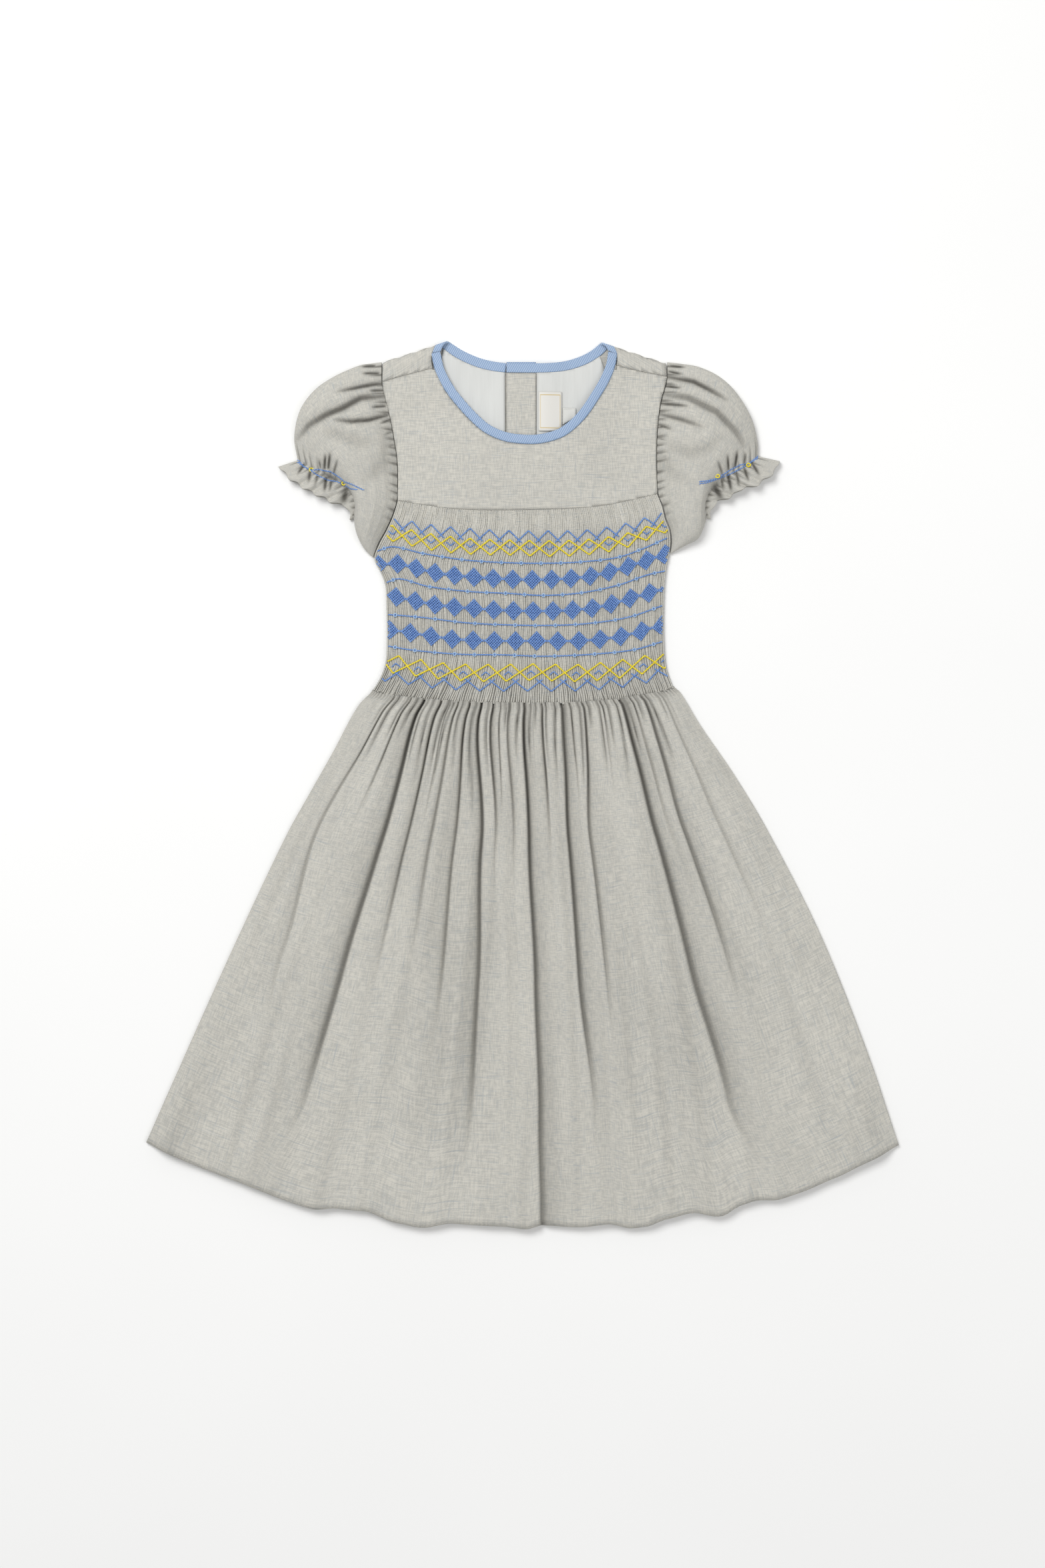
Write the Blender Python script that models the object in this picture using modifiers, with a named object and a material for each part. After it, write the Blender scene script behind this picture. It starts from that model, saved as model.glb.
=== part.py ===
# Smocked dress for a child of about six, laid flat on its back.
# Tables are in millimetres: x to the right, y towards the neck, z up from the surface it lies on.

import bisect
import math

import bmesh
import bpy
from mathutils import Vector

MM = 0.001

# Cloth and seams
WALL = 1.2
LINING_WALL = 1.0
BINDING_WALL = 1.8
BACK_BINDING_WALL = 2.6
SEAM_GAP = 0.35
NECK_GAP = 0.8
LAYER_GAP = 0.3
LINING_GAP = 0.5

# Back opening
LAP_REACH = 12.0
LAP_FLAT = 14.0
LAP_FADE = 22.0
RIGHT_LAP_FADE = 24.0
LAP_WAIST_FADE = 0.14
BUTTON_RADIUS = 5.5
BUTTON_THICK = 1.6
# Button, turned about its middle: radius, height
BUTTON_PROFILE = [
    (0.0, 0.5), (2.6, 0.5), (3.4, 0.0), (4.9, 0.0), (BUTTON_RADIUS, 0.6), (BUTTON_RADIUS - 0.3, BUTTON_THICK),
    (0.0, BUTTON_THICK),
]
BUTTON_HEIGHTS = (285.0, 235.0, 185.0, 135.0)
LEFT_LAP_LIFT = BUTTON_THICK + LAYER_GAP
RIGHT_LAP_LIFT = LEFT_LAP_LIFT + WALL + LAYER_GAP

# Front bodice
FRONT_EDGE_LIFT = 3.2
SIDE_SEAM_LIFT = 1.5
YOKE_DOME = 4.8
SMOCKED_DOME = 2.2
DOME_FLAT = 30.0
DOME_END = 90.0

# Smocking
PLEATS = 104
PLEAT_WALL = 1.0
PLEAT_HEIGHT = 1.3
PLEAT_PULL = 0.18
INSIDE_STEP = 8
SIDE_ROLL = 0.043
SIDE_ROLL_TOP = 168.0
SIDE_ROLL_FADE = 30.0
# Stitched rows from the waist up: share of the height, and how much of the pleats shows there
SMOCKED_ROWS = [
    (0.0, 1.0), (0.07, 0.5), (0.15, 0.9), (0.25, 0.55), (0.40, 0.6), (0.56, 0.6), (0.72, 0.6), (0.85, 0.9),
    (0.93, 0.5), (1.0, 0.9),
]

# Neck binding
BINDING_WIDTH = 7.0
BINDING_SINK = 0.2

# Skirt
HEM_RADIUS = 653.0
HEM_CENTRE_Y = 321.6
SKIRT_LIFT = 8.0
WAIST_LIFT = 0.62
SIDE_ROUNDING = 26.0
HEM_ROUNDING = 16.0
GATHER_HEIGHT = 2.0
GATHER_FADE = 0.13
CREASE_SHARE = 0.75
CREASE_WIDTH = 3.2
CREASE_SPREAD = 3.0
CREASE_FADE = 0.35
BACK_HEM_INSET = 1.5

# Colours as linear values from the photograph, and how rough each cloth is
COLOURS = {
    "wool cloth": (0.52, 0.51, 0.46, 1.0),
    "white lining": (0.72, 0.72, 0.68, 1.0),
    "blue twill tape": (0.34, 0.42, 0.54, 1.0),
    "woven label": (0.80, 0.80, 0.77, 1.0),
    "grey button": (0.45, 0.47, 0.48, 1.0),
}
ROUGHNESS = {
    "wool cloth": 0.95,
    "white lining": 0.8,
    "blue twill tape": 0.85,
    "woven label": 0.7,
    "grey button": 0.35,
}

# Front armhole seams, from the yoke seam up to the shoulder seam: x, y
ARMHOLE_LEFT = [(-93.5, 212), (-93, 225), (-93.5, 243), (-98, 270.5), (-103.5, 293), (-105, 301)]
ARMHOLE_RIGHT = [(101, 217), (100, 238), (100.5, 263), (103, 285.5), (106.5, 298), (108, 305)]
# The lower stretch of each armhole, from the yoke seam down to the side seam: x, y
UNDERARM_LEFT = [(-93.5, 212), (-97, 200.5), (-102, 189.5), (-107, 180.5), (-111, 169)]
UNDERARM_RIGHT = [(101, 217), (104.5, 208), (107, 198), (110, 190), (111, 181), (110, 172)]
# Side seams of the bodice, from the underarm down to the waist: x, y
SIDE_LEFT = [(-111, 169), (-106, 158), (-103, 150), (-102, 138), (-102, 96), (-105, 83), (-112, 70)]
SIDE_RIGHT = [(110, 172), (108, 163), (106.5, 150), (106, 138), (106, 108), (108, 87), (113, 72.5)]
# Seam between yoke and smocking, and the last gathering row at the waist, left to right: x, y
YOKE_SEAM = [(-93.5, 212), (-47, 205.5), (8, 205), (58, 208), (101, 217)]
WAIST_LINE = [(-112, 70), (-92, 65), (-42, 61), (8, 60), (58, 61.5), (98, 67.5), (113, 72.5)]
# Shoulder seams on the front, from the armhole to the neck: x, y
SHOULDER_LEFT = [(-105, 301), (-92, 305), (-72, 310), (-67.2, 311.2)]
SHOULDER_RIGHT = [(108, 305), (83, 310), (69.6, 313.5)]
# Middle of the neck binding along the front, from shoulder seam to shoulder seam: x, y
NECK_LINE = [
    (-62.3, 311), (-55, 296.2), (-47, 285.6), (-36.8, 274.4), (-26.4, 265.5), (-12.7, 259.5), (3, 257.5),
    (15, 258.2), (28.4, 262.3), (37.8, 269), (45.9, 277.6), (53.4, 288.6), (61.2, 301.6), (65.9, 313),
]
NECK_FRONT = [(-64.6, 321)] + NECK_LINE + [(67.4, 321)]
# The same line along the back, unfolded flat, from the middle out and over the shoulder: x, y
NECK_BACK_LEFT = [
    (-12.6, 311.6), (-22, 313), (-32, 315.5), (-42, 319.5), (-50, 323.8), (-57, 329), (-62, 334.5),
    (-64.4, 339),
]
NECK_BACK_RIGHT = [
    (-12, 311.6), (3, 311.4), (10.5, 311.4), (18, 311.6), (28, 312.6), (38, 314.8), (48, 318.6), (56, 323.6),
    (62.5, 330), (66.5, 334.5), (67.4, 337),
]
# Where that line goes on under the front binding, to the shoulder seam: x, y
NECK_END_LEFT = [(-64.5, 344), (-63.3, 349.5)]
NECK_END_RIGHT = [(67.2, 342), (65.9, 347.5)]
# Shoulder fold: its height at the neck, how far out that is, and how fast it falls towards the sleeve
FOLD_Y = 328.0
FOLD_X = 68.0
FOLD_SLOPE = 0.32

# Skirt sides, from the waist down to the hem: x, y
SKIRT_LEFT = [
    (-112, 70), (-123.5, 58), (-142, 24), (-159.5, -7), (-177, -38.5), (-217, -123), (-267, -234.5),
    (-282, -268.5),
]
SKIRT_RIGHT = [
    (113, 72.5), (118, 69), (133, 44.5), (158, 8), (183, -33.5), (223, -112), (258, -199.5), (282, -270.5),
]
# How far the hem dips below its arc where a fold comes down: x, drop
HEM_DIPS = [
    (-282, 0.5), (-217, 1), (-158, 4.9), (-137, 0), (-117, -1.9), (-94.5, 2.9), (-77, 4.1), (-52, -1.4),
    (-17, -1.3), (3, 0.5), (14, -1.9), (46, 0.6), (63, 0), (84, 5.2), (93, 5.2), (108, 2), (125, 0.7), (150, 8),
    (163, 3.7), (173, 2.8), (193, 7.2), (208, 7), (233, 5.5), (258, 3.6), (282, 2),
]
# Creases of the skirt front. Places are shares of the skirt's width, counted from its left side, at five
# levels: waist, 28, 54 and 80 in a hundred of the way down, and hem. The depth is a share of the fold's
# height, and the end is the share of the way down where the crease has faded out.
CREASES = [
    # waist, upper, middle, lower, hem, depth, end
    (0.078, 0.052, 0.076, 0.100, 0.106, 0.45, 0.95),
    (0.177, 0.188, 0.180, 0.176, 0.150, 0.95, 1.30),
    (0.233, 0.240, 0.238, 0.240, 0.230, 0.65, 0.80),
    (0.288, 0.291, 0.295, 0.300, 0.288, 0.60, 0.90),
    (0.326, 0.343, 0.349, 0.352, 0.350, 0.55, 1.10),
    (0.364, 0.402, 0.413, 0.417, 0.414, 0.95, 1.20),
    (0.400, 0.432, 0.452, 0.462, 0.465, 0.60, 0.55),
    (0.452, 0.472, 0.482, 0.492, 0.494, 0.50, 0.45),
    (0.501, 0.505, 0.512, 0.520, 0.526, 1.00, 1.50),
    (0.560, 0.552, 0.552, 0.566, 0.570, 0.50, 0.45),
    (0.622, 0.592, 0.588, 0.602, 0.608, 0.90, 1.10),
    (0.690, 0.640, 0.636, 0.638, 0.642, 0.60, 1.10),
    (0.750, 0.706, 0.706, 0.716, 0.736, 0.50, 0.35),
    (0.813, 0.783, 0.781, 0.797, 0.833, 0.95, 1.30),
    (0.885, 0.844, 0.846, 0.850, 0.884, 0.75, 0.75),
    (0.944, 0.918, 0.922, 0.922, 0.945, 0.40, 0.90),
]
CREASE_LEVELS = (0.0, 0.28, 0.54, 0.80, 1.0)
SKIRT_ROWS = (0.0, 0.015, 0.04, 0.08, 0.13, 0.20, 0.30, 0.42, 0.55, 0.68, 0.80, 0.91, 1.0)

# Sleeves. Each line is x, y: the top edge runs from shoulder to cuff, the lower edge from underarm to cuff,
# the cuff row and the ruffle's edge from the top edge to the lower edge.
LEFT_SLEEVE = {
    "armhole": [
        (-110.3, 314), (-105.8, 301), (-104, 293), (-98.6, 270.5), (-94.2, 243), (-93.7, 225), (-94.2, 212),
        (-97.8, 200.5), (-102.9, 189.5), (-108, 180.5), (-112.2, 170),
    ],
    "top": [
        (-110.3, 314), (-122, 313.5), (-142, 304.5), (-156, 294.5), (-166.5, 280), (-171, 260), (-168.5, 242.5),
    ],
    "under": [(-112.2, 170), (-117.5, 175), (-122, 182), (-125, 190), (-126.5, 199)],
    "cuff": [(-168.5, 242.5), (-153, 234), (-139.5, 227), (-129.5, 219), (-125.5, 210), (-126.5, 199)],
    "ruffle": [
        (-182, 238), (-176, 230), (-167, 223.5), (-157.5, 218), (-149, 214), (-141, 210), (-132.5, 208),
        (-128.5, 198),
    ],
}
RIGHT_SLEEVE = {
    "armhole": [
        (112.6, 314), (108.8, 305), (107.2, 298), (103.8, 285.5), (101.2, 263), (100.8, 238), (101.8, 217),
        (105.3, 208), (107.9, 198), (110.9, 190), (111.9, 181), (110.9, 172.5),
    ],
    "top": [(112.6, 314), (133, 312), (148, 304.5), (160, 293), (171, 275), (176, 257), (176.5, 245.5)],
    "under": [(110.9, 172.5), (123, 179), (131, 183), (135, 190), (138, 199)],
    "cuff": [(176.5, 245.5), (163, 235.5), (151, 227), (141, 219), (137, 210), (138, 199)],
    "ruffle": [
        (192, 242), (189, 234), (180.5, 227), (173, 222.5), (166.5, 222), (160.5, 218), (153, 213.5),
        (145, 211), (140, 198.5),
    ],
}
CAP_GATHERS = 6
CAP_GATHER_HEIGHT = 2.2
CUFF_GATHERS = 7
CUFF_GATHER_HEIGHT = 1.7
RUFFLE_WAVES = 6
RUFFLE_WAVE_HEIGHT = 1.8
# Stations along a sleeve: share from armhole to cuff row, share on to the ruffle's edge, height, side height
SLEEVE_STATIONS = [
    (0.00, 0.0, 4.4, 2.2), (0.05, 0.0, 8.5, 2.6), (0.14, 0.0, 13.5, 3.2), (0.28, 0.0, 18.0, 4.0),
    (0.46, 0.0, 20.0, 4.6), (0.64, 0.0, 18.5, 4.6), (0.80, 0.0, 14.5, 4.0), (0.92, 0.0, 10.5, 3.2),
    (1.00, 0.0, 8.6, 2.8), (1.00, 0.5, 9.4, 2.8), (1.00, 1.0, 8.8, 2.6),
]
# Places round a sleeve, as shares from its top edge to its lower edge: over the top, then back beneath
SLEEVE_OVER = (
    0.0, 0.03, 0.08, 0.15, 0.22, 0.29, 0.36, 0.43, 0.50, 0.57, 0.64, 0.71, 0.78, 0.85, 0.92, 0.97, 1.0,
)
SLEEVE_UNDER = (0.975, 0.93, 0.85, 0.78, 0.71, 0.64, 0.5, 0.36, 0.22, 0.15, 0.08, 0.03)


def curve_through(points):
    # A smooth curve through the points, as a function of the share of its length.
    knots = [Vector(point) for point in points]
    lengths = [0.0]
    for start, end in zip(knots, knots[1:]):
        lengths.append(lengths[-1] + (end - start).length)

    def slope(index):
        before = max(index - 1, 0)
        after = min(index + 1, len(knots) - 1)
        return (knots[after] - knots[before]) / (lengths[after] - lengths[before])

    def at(share):
        distance = share * lengths[-1]
        index = min(max(bisect.bisect_right(lengths, distance) - 1, 0), len(knots) - 2)
        span = lengths[index + 1] - lengths[index]
        t = (distance - lengths[index]) / span
        ease = t * t * (3 - 2 * t)
        leave = t * (1 - t) ** 2 * span
        arrive = t * t * (t - 1) * span
        along = knots[index].lerp(knots[index + 1], ease)
        return along + slope(index) * leave + slope(index + 1) * arrive

    return at


def beside(curve, distance):
    # The curve moved sideways, to the left of its direction.
    def at(share):
        tangent = (curve(min(share + 0.002, 1.0)) - curve(max(share - 0.002, 0.0))).normalized()
        return curve(share) + Vector((-tangent.y, tangent.x)) * distance

    return at


def patch(left, right, bottom, top):
    # Fills the space inside four boundaries. Left and right run upwards, bottom and top rightwards.
    corners = [bottom(0), bottom(1), top(0), top(1)]

    def at(u, v):
        across = left(v) * (1 - u) + right(v) * u
        upwards = bottom(u) * (1 - v) + top(u) * v
        low = corners[0] * (1 - u) + corners[1] * u
        high = corners[2] * (1 - u) + corners[3] * u
        return across + upwards - (low * (1 - v) + high * v)

    return at


def table_value(table, place):
    # Reads a two-column table at a place between its rows, easing from row to row.
    rows = [row[0] for row in table]
    index = min(max(bisect.bisect_right(rows, place) - 1, 0), len(rows) - 2)
    t = min(max((place - rows[index]) / (rows[index + 1] - rows[index]), 0.0), 1.0)
    ease = t * t * (3 - 2 * t)
    return table[index][1] * (1 - ease) + table[index + 1][1] * ease


def fade(distance, start, length):
    # One up to the start, then easing down to nothing.
    t = min(max((distance - start) / length, 0.0), 1.0)
    return 0.5 + 0.5 * math.cos(math.pi * t)


def left_lap(x):
    # Underside of the left back, which stands on the buttons along the opening.
    return LEFT_LAP_LIFT * fade(abs(x), LAP_FLAT, LAP_FADE)


def right_lap(x):
    # Underside of the right back, which lies over the left one along the opening.
    return RIGHT_LAP_LIFT * fade(abs(x), LAP_FLAT, RIGHT_LAP_FADE)


def front_floor(x, y):
    # Underside of the front bodice, arched over the opening, its facing and the label.
    dome = SMOCKED_DOME + (YOKE_DOME - SMOCKED_DOME) * fade(-y, -250, 45)
    return FRONT_EDGE_LIFT + dome * fade(abs(x), DOME_FLAT, DOME_END - DOME_FLAT)


def fold_y(x):
    return FOLD_Y - FOLD_SLOPE * (abs(x) - FOLD_X)


def fold_radius(x, rise):
    return (front_floor(x, FOLD_Y) + rise) / 2


def folded(x, y, rise):
    # Takes a place on the back cloth, unfolded, over the shoulder and down the front.
    radius = fold_radius(x, rise)
    start = fold_y(x) - radius
    past = y - start
    if past <= 0:
        return Vector((x, y, 0))
    if past < math.pi * radius:
        turn = past / radius
        return Vector((x, start + radius * math.sin(turn), radius * (1 - math.cos(turn))))
    return Vector((x, start - (past - math.pi * radius), 2 * radius))


def unfolded_front(point):
    # Where a place on the front of the shoulder lies on the unfolded back cloth.
    x, y = point
    radius = fold_radius(x, WALL)
    start = fold_y(x) - radius
    return Vector((x, start + math.pi * radius + (start - y - NECK_GAP)))


def grid_rows(bm, columns, rows):
    # A grid as rows of vertices, the lowest row first and each row from left to right.
    found = bmesh.ops.create_grid(bm, x_segments=columns, y_segments=rows, size=1.0)["verts"]
    ordered = sorted(found, key=lambda vertex: (round(vertex.co.y, 5), vertex.co.x))
    width = columns + 1
    return [ordered[row * width:(row + 1) * width] for row in range(rows + 1)]


def material_named(name):
    material = bpy.data.materials.get(name)
    if material:
        return material
    material = bpy.data.materials.new(name)
    material.use_nodes = True
    shader = material.node_tree.nodes["Principled BSDF"]
    shader.inputs["Base Color"].default_value = COLOURS[name]
    shader.inputs["Roughness"].default_value = ROUGHNESS[name]
    shader.inputs["Metallic"].default_value = 0.0
    return material


def finished(bm, name, material, smooth=True):
    mesh = bpy.data.meshes.new(name)
    bm.to_mesh(mesh)
    bm.free()
    if smooth:
        mesh.shade_smooth()
    mesh.materials.append(material_named(material))
    obj = bpy.data.objects.new(name, mesh)
    dress.objects.link(obj)
    return obj


def thickened(obj, wall, side):
    # Side 1 thickens a surface along its own normal, and -1 against it.
    solidify = obj.modifiers.new("Wall", "SOLIDIFY")
    solidify.thickness = wall * MM
    solidify.offset = side
    return obj


def cloth(name, place, across, down, wall, side, material="wool cloth"):
    # A wall of cloth over a grid.
    bm = bmesh.new()
    rows = grid_rows(bm, len(across) - 1, len(down) - 1)
    for v, row in zip(down, rows):
        for u, vertex in zip(across, row):
            vertex.co = place(u, v) * MM
    return thickened(finished(bm, name, material), wall, side)


def even(count):
    return [index / count for index in range(count + 1)]


def points_along(curve, count):
    return [curve(share) for share in even(count)]


def cut_cloth(name, outline, across, down, slanted, place, wall, side, material="wool cloth"):
    # A flat piece cut to an outline, scored where it bends, laid in its place and thickened.
    # Across and down are the x and y of its scores, and slanted holds a place and a slope for each other one.
    area = sum(a[0] * b[1] - b[0] * a[1] for a, b in zip(outline, outline[1:] + outline[:1]))
    if area < 0:
        outline = outline[::-1]
    scores = [((x, 0, 0), (1, 0, 0)) for x in across]
    scores += [((0, y, 0), (0, 1, 0)) for y in down]
    scores += [((x, y, 0), (slope, 1, 0)) for x, y, slope in slanted]
    bm = bmesh.new()
    bm.faces.new([bm.verts.new((x, y, 0)) for x, y in outline])
    for middle, normal in scores:
        everything = bm.verts[:] + bm.edges[:] + bm.faces[:]
        bmesh.ops.bisect_plane(bm, geom=everything, dist=0.3, plane_co=middle, plane_no=normal)
    bmesh.ops.triangulate(bm, faces=bm.faces[:])
    for vertex in bm.verts:
        vertex.co = place(vertex.co.x, vertex.co.y) * MM
    return thickened(finished(bm, name, material), wall, side)


def mirrored(places):
    return [-place for place in places[::-1]] + list(places)


def front_yoke():
    neck = beside(curve_through(NECK_LINE), -BINDING_WIDTH / 2 - NECK_GAP)
    outline = [point + Vector((0, SEAM_GAP)) for point in points_along(curve_through(YOKE_SEAM), 26)]
    outline += points_along(curve_through(ARMHOLE_RIGHT), 14)[1:]
    outline += points_along(curve_through(SHOULDER_RIGHT), 4)[1:-1]
    outline += points_along(neck, 36)[::-1]
    outline += points_along(curve_through(SHOULDER_LEFT[::-1]), 4)[1:]
    outline += points_along(curve_through(ARMHOLE_LEFT[::-1]), 14)[1:-1]

    def place(x, y):
        return Vector((x, y, front_floor(x, y) + WALL))

    across = mirrored([15, 30, 40, 50, 60, 70, 80, 90])
    return cut_cloth("front_yoke", outline, across, [213, 222, 231, 240, 250, 268, 286], [], place, WALL, -1)


def smocked_front():
    left = curve_through((UNDERARM_LEFT + SIDE_LEFT[1:])[::-1])
    right = curve_through((UNDERARM_RIGHT + SIDE_RIGHT[1:])[::-1])
    outline = patch(left, right, curve_through(WAIST_LINE), curve_through(YOKE_SEAM))
    columns = 2 * PLEATS

    def inside(u, v):
        x, y = outline(u, v)
        y -= SEAM_GAP * v
        edge = fade(min(u, 1 - u), 0, SIDE_ROLL) * fade(y, SIDE_ROLL_TOP, SIDE_ROLL_FADE)
        z = front_floor(x, y)
        return Vector((x, y, z - (z - SIDE_SEAM_LIFT) * edge))

    bm = bmesh.new()
    outer = grid_rows(bm, columns, len(SMOCKED_ROWS) - 1)
    for index, (v, show) in enumerate(SMOCKED_ROWS):
        for column, vertex in enumerate(outer[index]):
            inner_column = 0 < column < columns
            pull = PLEAT_PULL * (-1) ** (column // 4 + index) * inner_column * (column % 4 in (1, 3))
            point = inside((column + pull) / columns, v)
            point.z += PLEAT_WALL + PLEAT_HEIGHT * show * (column % 2)
            vertex.co = point * MM
    coarse = columns // INSIDE_STEP
    inner = grid_rows(bm, coarse, len(SMOCKED_ROWS) - 1)
    for row, (v, show) in zip(inner, SMOCKED_ROWS):
        for column, vertex in enumerate(row):
            vertex.co = inside(column / coarse, v) * MM
    for index in (0, -1):
        for column in range(coarse):
            start = column * INSIDE_STEP
            upper = outer[index][start:start + INSIDE_STEP + 1]
            bm.faces.new(upper + [inner[index][column + 1], inner[index][column]])
    for side in (0, -1):
        for row in range(len(SMOCKED_ROWS) - 1):
            bm.faces.new([outer[row][side], outer[row + 1][side], inner[row + 1][side], inner[row][side]])
    bmesh.ops.recalc_face_normals(bm, faces=bm.faces)
    return finished(bm, "smocked_front", "wool cloth", smooth=False)


def hem_curve(inset):
    def at(share):
        x = SKIRT_LEFT[-1][0] + (SKIRT_RIGHT[-1][0] - SKIRT_LEFT[-1][0]) * share
        arc = HEM_CENTRE_Y - math.sqrt(HEM_RADIUS ** 2 - x * x)
        return Vector((x, arc - table_value(HEM_DIPS, x) + inset))

    return at


def crease_place(crease, v):
    return table_value(list(zip(CREASE_LEVELS, crease[:5])), v)


def skirt_columns():
    # Each column is a function of the way down, so that columns follow the creases.
    lines = [lambda v: 0.0]
    lines += [lambda v, crease=crease: crease_place(crease, v) for crease in CREASES]
    lines += [lambda v: 1.0]
    columns = []
    for before, after in zip(lines, lines[1:]):
        shares = (0.0, 0.2, 0.5, 0.8) if after(0.5) - before(0.5) < 0.1 else (0.0, 0.12, 0.35, 0.65, 0.88)
        for share in shares:
            columns.append(lambda v, a=before, b=after, s=share: a(v) * (1 - s) + b(v) * s)
    return columns + [lines[-1]]


def skirt_front():
    outline = patch(
        curve_through(SKIRT_LEFT[::-1]),
        curve_through(SKIRT_RIGHT[::-1]),
        hem_curve(0.0),
        curve_through(WAIST_LINE),
    )
    columns = skirt_columns()

    def width(v):
        return (outline(1, 1 - v) - outline(0, 1 - v)).length

    def height(u, v, x, column):
        side = min(u, 1 - u) * width(v)
        rounding = 1 - fade(side, 0, SIDE_ROUNDING + (HEM_ROUNDING - SIDE_ROUNDING) * v)
        crest = WAIST_LIFT + (1 - WAIST_LIFT) * fade(v, 0.0, 0.9)
        z = SKIRT_LIFT * crest * rounding
        for crease in CREASES:
            away = abs(u - crease_place(crease, v)) * width(v)
            trough = math.exp(-((away / (CREASE_WIDTH + CREASE_SPREAD * v)) ** 2))
            z -= z * CREASE_SHARE * crease[5] * trough * fade(v, crease[6] - CREASE_FADE, CREASE_FADE)
        gather = GATHER_HEIGHT * (1 if column % 2 else -1) * fade(v, 0.0, GATHER_FADE) * rounding
        return max(z + gather, right_lap(x) * fade(v, 0.0, LAP_WAIST_FADE))

    bm = bmesh.new()
    rows = grid_rows(bm, len(columns) - 1, len(SKIRT_ROWS) - 1)
    for v, row in zip(reversed(SKIRT_ROWS), rows):
        for index, vertex in enumerate(row):
            u = columns[index](v)
            x, y = outline(u, 1 - v)
            z = SIDE_SEAM_LIFT + WALL + height(u, v, x, index)
            vertex.co = Vector((x, y - SEAM_GAP * (1 - v), z)) * MM
    return thickened(finished(bm, "skirt_front", "wool cloth"), WALL, -1)


def skirt_back():
    outline = [point + Vector((0, -SEAM_GAP)) for point in points_along(curve_through(WAIST_LINE), 22)]
    outline += points_along(curve_through(SKIRT_RIGHT), 12)[1:]
    outline += points_along(hem_curve(BACK_HEM_INSET), 40)[::-1][1:-1]
    outline += points_along(curve_through(SKIRT_LEFT), 12)[::-1][:-1]

    def place(x, y):
        return Vector((x, y, right_lap(x) * fade(-y, -58, 45)))

    across = mirrored([14, 20, 26, 32, 38, 80, 130, 190, 240])
    return cut_cloth("skirt_back", outline, across, [50, 36, 24, 12, -60, -150, -240], [], place, WALL, 1)


def back_bodice(name, outside, shoulder, neck, lap_edge, lap):
    # One half of the back: side and armhole edge, shoulder seam, neck edge and the edge of the opening.
    hand = 1 if shoulder[0][0] < 0 else -1
    shoulder_line = curve_through([unfolded_front(point) for point in shoulder])
    neck_edge = beside(curve_through(neck[::-1]), -hand * (BINDING_WIDTH / 2 + NECK_GAP))
    waist = curve_through(WAIST_LINE)
    corner = Vector((lap_edge, waist(0.5).y))
    lower_edge = [point for point in points_along(waist, 22)[::-hand] if (lap_edge - point.x) * hand > 2]
    outline = points_along(curve_through(outside), 30)
    outline += points_along(shoulder_line, 5)
    outline += points_along(neck_edge, 32)
    outline += [corner] + lower_edge[:-1]

    def place(x, y):
        point = folded(x, y, WALL)
        point.z += lap(x)
        return point

    across = mirrored([14, 20, 26, 32, 38, 55, 75, 92])
    slope = -FOLD_SLOPE * hand
    bends = [(-hand * FOLD_X, FOLD_Y + past, slope) for past in (-4.2, -2.6, -1, 0.6, 2.2, 3.8, 5.4, 7)]
    return cut_cloth(name, outline, across, [110, 160, 210, 260, 295], bends, place, WALL, 1)


def back_lining(name, neck, outer, inner, lap):
    # White lining of the back, as far as the neck opening shows it.
    hand = 1 if outer < inner else -1
    edge = beside(curve_through(neck[::-1]), -hand * (BINDING_WIDTH / 2 + NECK_GAP))
    low = 248.0
    outline = [Vector((inner, low)), Vector((outer, low)), Vector((outer, 290))] + points_along(edge, 16)

    def place(x, y):
        return Vector((x, y, lap(x) + WALL + LINING_GAP))

    across = mirrored([14, 17, 20, 23, 26, 29, 32, 35, 38, 50])
    return cut_cloth(name, outline, across, [265, 285, 300], [], place, LINING_WALL, 1, "white lining")


def opening_facing():
    # Strip of the dress cloth that faces the edge of the back opening.
    def place(u, v):
        x = -LAP_REACH + 0.3 + (2 * LAP_REACH - 2.3) * u
        y = 232 + (307.2 - 232) * v
        return Vector((x, y, RIGHT_LAP_LIFT + WALL + LAYER_GAP))

    return cloth("opening_facing", place, even(2), even(6), LINING_WALL, 1)


def label_piece(name, left, right, low, high, slant):
    # A woven label on the lining, its lower edge rising by the slant towards the right.
    def place(u, v):
        x = left + (right - left) * u
        y = low + (high - low) * v + slant * u * (1 - v)
        return Vector((x, y, right_lap(x) + WALL + LINING_GAP + LINING_WALL + LAYER_GAP))

    return cloth(name, place, even(6), even(2), LINING_WALL, 1, "woven label")


def band(name, path, columns, wall, height, side):
    # A strip of bias tape along a path, its middle a little higher than its edges.
    middle = curve_through(path)
    left = beside(middle, BINDING_WIDTH / 2)
    right = beside(middle, -BINDING_WIDTH / 2)

    def place(u, v):
        point = right(u) * (1 - v) + left(u) * v
        return height(point.x, point.y)

    return cloth(name, place, even(columns), (0, 0.5, 1), wall, side, "blue twill tape")


def neck_bindings():
    def on_front(x, y):
        return Vector((x, y, front_floor(x, y) - BINDING_SINK + BINDING_WALL))

    def over_left(x, y):
        point = folded(x, y, BINDING_WALL - BINDING_SINK)
        point.z += left_lap(x)
        return point

    def over_right(x, y):
        point = folded(x, y, BINDING_WALL - BINDING_SINK)
        point.z += right_lap(x)
        return point

    def tab_end(x, y):
        return Vector((x, y + 1.0, LEFT_LAP_LIFT))

    band("neck_binding_front", NECK_FRONT, 40, BINDING_WALL, on_front, -1)
    band("neck_binding_back_left", NECK_BACK_LEFT, 18, BACK_BINDING_WALL, over_left, 1)
    band("neck_binding_back_right", NECK_BACK_RIGHT, 28, BACK_BINDING_WALL, over_right, 1)
    band("neck_binding_end", [(-12, 311.6), (10, 311.6)], 4, WALL, tab_end, 1)


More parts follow.
